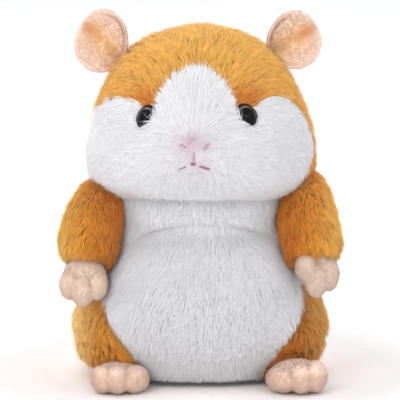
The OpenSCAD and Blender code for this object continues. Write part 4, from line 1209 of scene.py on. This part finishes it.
# ------------------------------------------------------------------ carried-over parts
slot_of = {sp["node"]: sp["material_slot"] for sp in frame["record"]["subparts"]}
hard = {
    "case_plastic": plastic_mat("case_plastic", lin(120, 122, 126), 0.55, 0.06, 0, 700, 0.15),
    "case_top_plastic": plastic_mat("case_top_plastic", lin(222, 222, 216), 0.5, 0.04, 0, 500, 0.1),
    "gear_plastic": plastic_mat("gear_plastic", lin(238, 232, 214), 0.4, 0.04, 0, 500, 0.05),
    "steel": plastic_mat("steel", lin(200, 200, 205), 0.3, 0.08, 1.0, 900, 0.05),
    "dark_plastic": plastic_mat("dark_plastic", lin(38, 38, 40), 0.45, 0.15, 0, 700, 0.1),
    "spring_metal": plastic_mat("spring_metal", lin(216, 216, 220), 0.2, 0.05, 1.0, 900, 0.03),
    "board": plastic_mat("board", lin(24, 92, 52), 0.4, 0.15, 0, 300, 0.05, 0.3),
    "battery_wrap": plastic_mat("battery_wrap", lin(170, 140, 50), 0.25, 0.08, 0, 300, 0.03, 0.5),
    "magnet": plastic_mat("magnet", lin(110, 112, 116), 0.35, 0.08, 0.8, 600, 0.05),
    "wire_cover": plastic_mat("wire_cover", lin(190, 40, 34), 0.5, 0.08, 0, 900, 0.05),
    "stuffing": cloth_mat("stuffing", 1.0, 0.6, 700.0, 0.6),
    "thread": thread_mat,
}
for n, o in frame["nodes"].items():
    if o.hide_render:
        continue
    mt = hard.get(slot_of.get(n))
    if mt is not None:
        if len(o.material_slots) == 0:
            o.data.materials.append(mt)
        for ms in o.material_slots:
            ms.link = "OBJECT"
            ms.material = mt

# ------------------------------------------------------------------ stage, light, camera
fm, nt, b = node_mat("floor")
tc = put(nt, "ShaderNodeTexCoord")
vl = put(nt, "ShaderNodeVectorMath", operation="LENGTH")
nt.links.new(tc.outputs["Object"], vl.inputs[0])
n = noise_of(nt, 3.0)
# painted shadow: a grey ring round the object, and the floor just under it painted lighter and warmer as bounce light;
# white further out
floor_shadow = ramp(nt, vl.outputs["Value"], [(0.052, (0.99, 0.94, 0.92)), (0.07, (0.80, 0.765, 0.755)), (0.09, (0.72, 0.70, 0.70)), (0.14, (0.80, 0.79, 0.79)), (0.25, (0.99, 0.99, 0.99))])
mot = ramp(nt, n.outputs["Fac"], [(0.2, (0.985, 0.985, 0.985)), (0.8, (1, 1, 1))])
mm = put(nt, "ShaderNodeMix", data_type="RGBA", blend_type="MULTIPLY")
mm.inputs["Factor"].default_value = 1.0
nt.links.new(floor_shadow.outputs["Color"], mm.inputs[6])
nt.links.new(mot.outputs["Color"], mm.inputs[7])
nt.links.new(mm.outputs[2], b.inputs["Base Color"])
b.inputs["Roughness"].default_value = 0.75
me = bpy.data.meshes.new("floor")
S = 3.0
me.from_pydata([(-S, -S, 0), (S, -S, 0), (S, S, 0), (-S, S, 0)], [], [(0, 1, 2, 3)])
floor = bpy.data.objects.new("floor", me)
me.materials.append(fm)
bpy.context.scene.collection.objects.link(floor)

world = bpy.data.worlds.new("world")
bpy.context.scene.world = world
world.use_nodes = True
bg = world.node_tree.nodes["Background"]
bg.inputs["Color"].default_value = (0.975, 0.98, 1.0, 1)
bg.inputs["Strength"].default_value = 1.03


def area(name, loc, aim, size, power, colour=(1, 1, 1)):
    d = bpy.data.lights.new(name, "AREA")
    d.shape = "RECTANGLE"
    d.size, d.size_y = size
    d.energy = power
    d.color = colour
    o = bpy.data.objects.new(name, d)
    bpy.context.scene.collection.objects.link(o)
    o.location = loc
    o.rotation_euler = (Vector(aim) - Vector(loc)).to_track_quat("-Z", "Y").to_euler()
    return o


area("key", (-0.45, -0.8, 0.7), (0, 0, 0.08), (0.6, 0.6), 3.4, (1, 0.99, 0.97))
area("front", (0.05, -1.15, 0.06), (0, 0, 0.05), (0.9, 0.25), 3.2)
area("fill", (0.7, -0.7, 0.3), (0, 0, 0.08), (0.6, 0.6), 0.8, (0.97, 0.98, 1))
area("top", (0.0, 0.15, 0.9), (0, 0, 0.08), (0.8, 0.5), 2.6)
area("rim_left", (-0.75, 0.18, 0.25), (0, 0, 0.07), (0.5, 0.6), 1.6)
area("rim_right", (0.75, 0.2, 0.25), (0, 0, 0.07), (0.5, 0.6), 0.8)

EL, DIST, AIM = math.radians(8.0), 1.15, 0.0776
cam = bpy.data.cameras.new("camera")
co = bpy.data.objects.new("camera", cam)
bpy.context.scene.collection.objects.link(co)
co.location = (0, -DIST * math.cos(EL), AIM + DIST * math.sin(EL))
co.rotation_euler = (Vector((0, 0, AIM)) - co.location).to_track_quat("-Z", "Y").to_euler()
cam.sensor_width = 36
cam.lens = 36 * DIST / 0.180
cam.clip_start = 0.05
bpy.context.scene.camera = co
bpy.context.scene.view_settings.view_transform = "Standard"
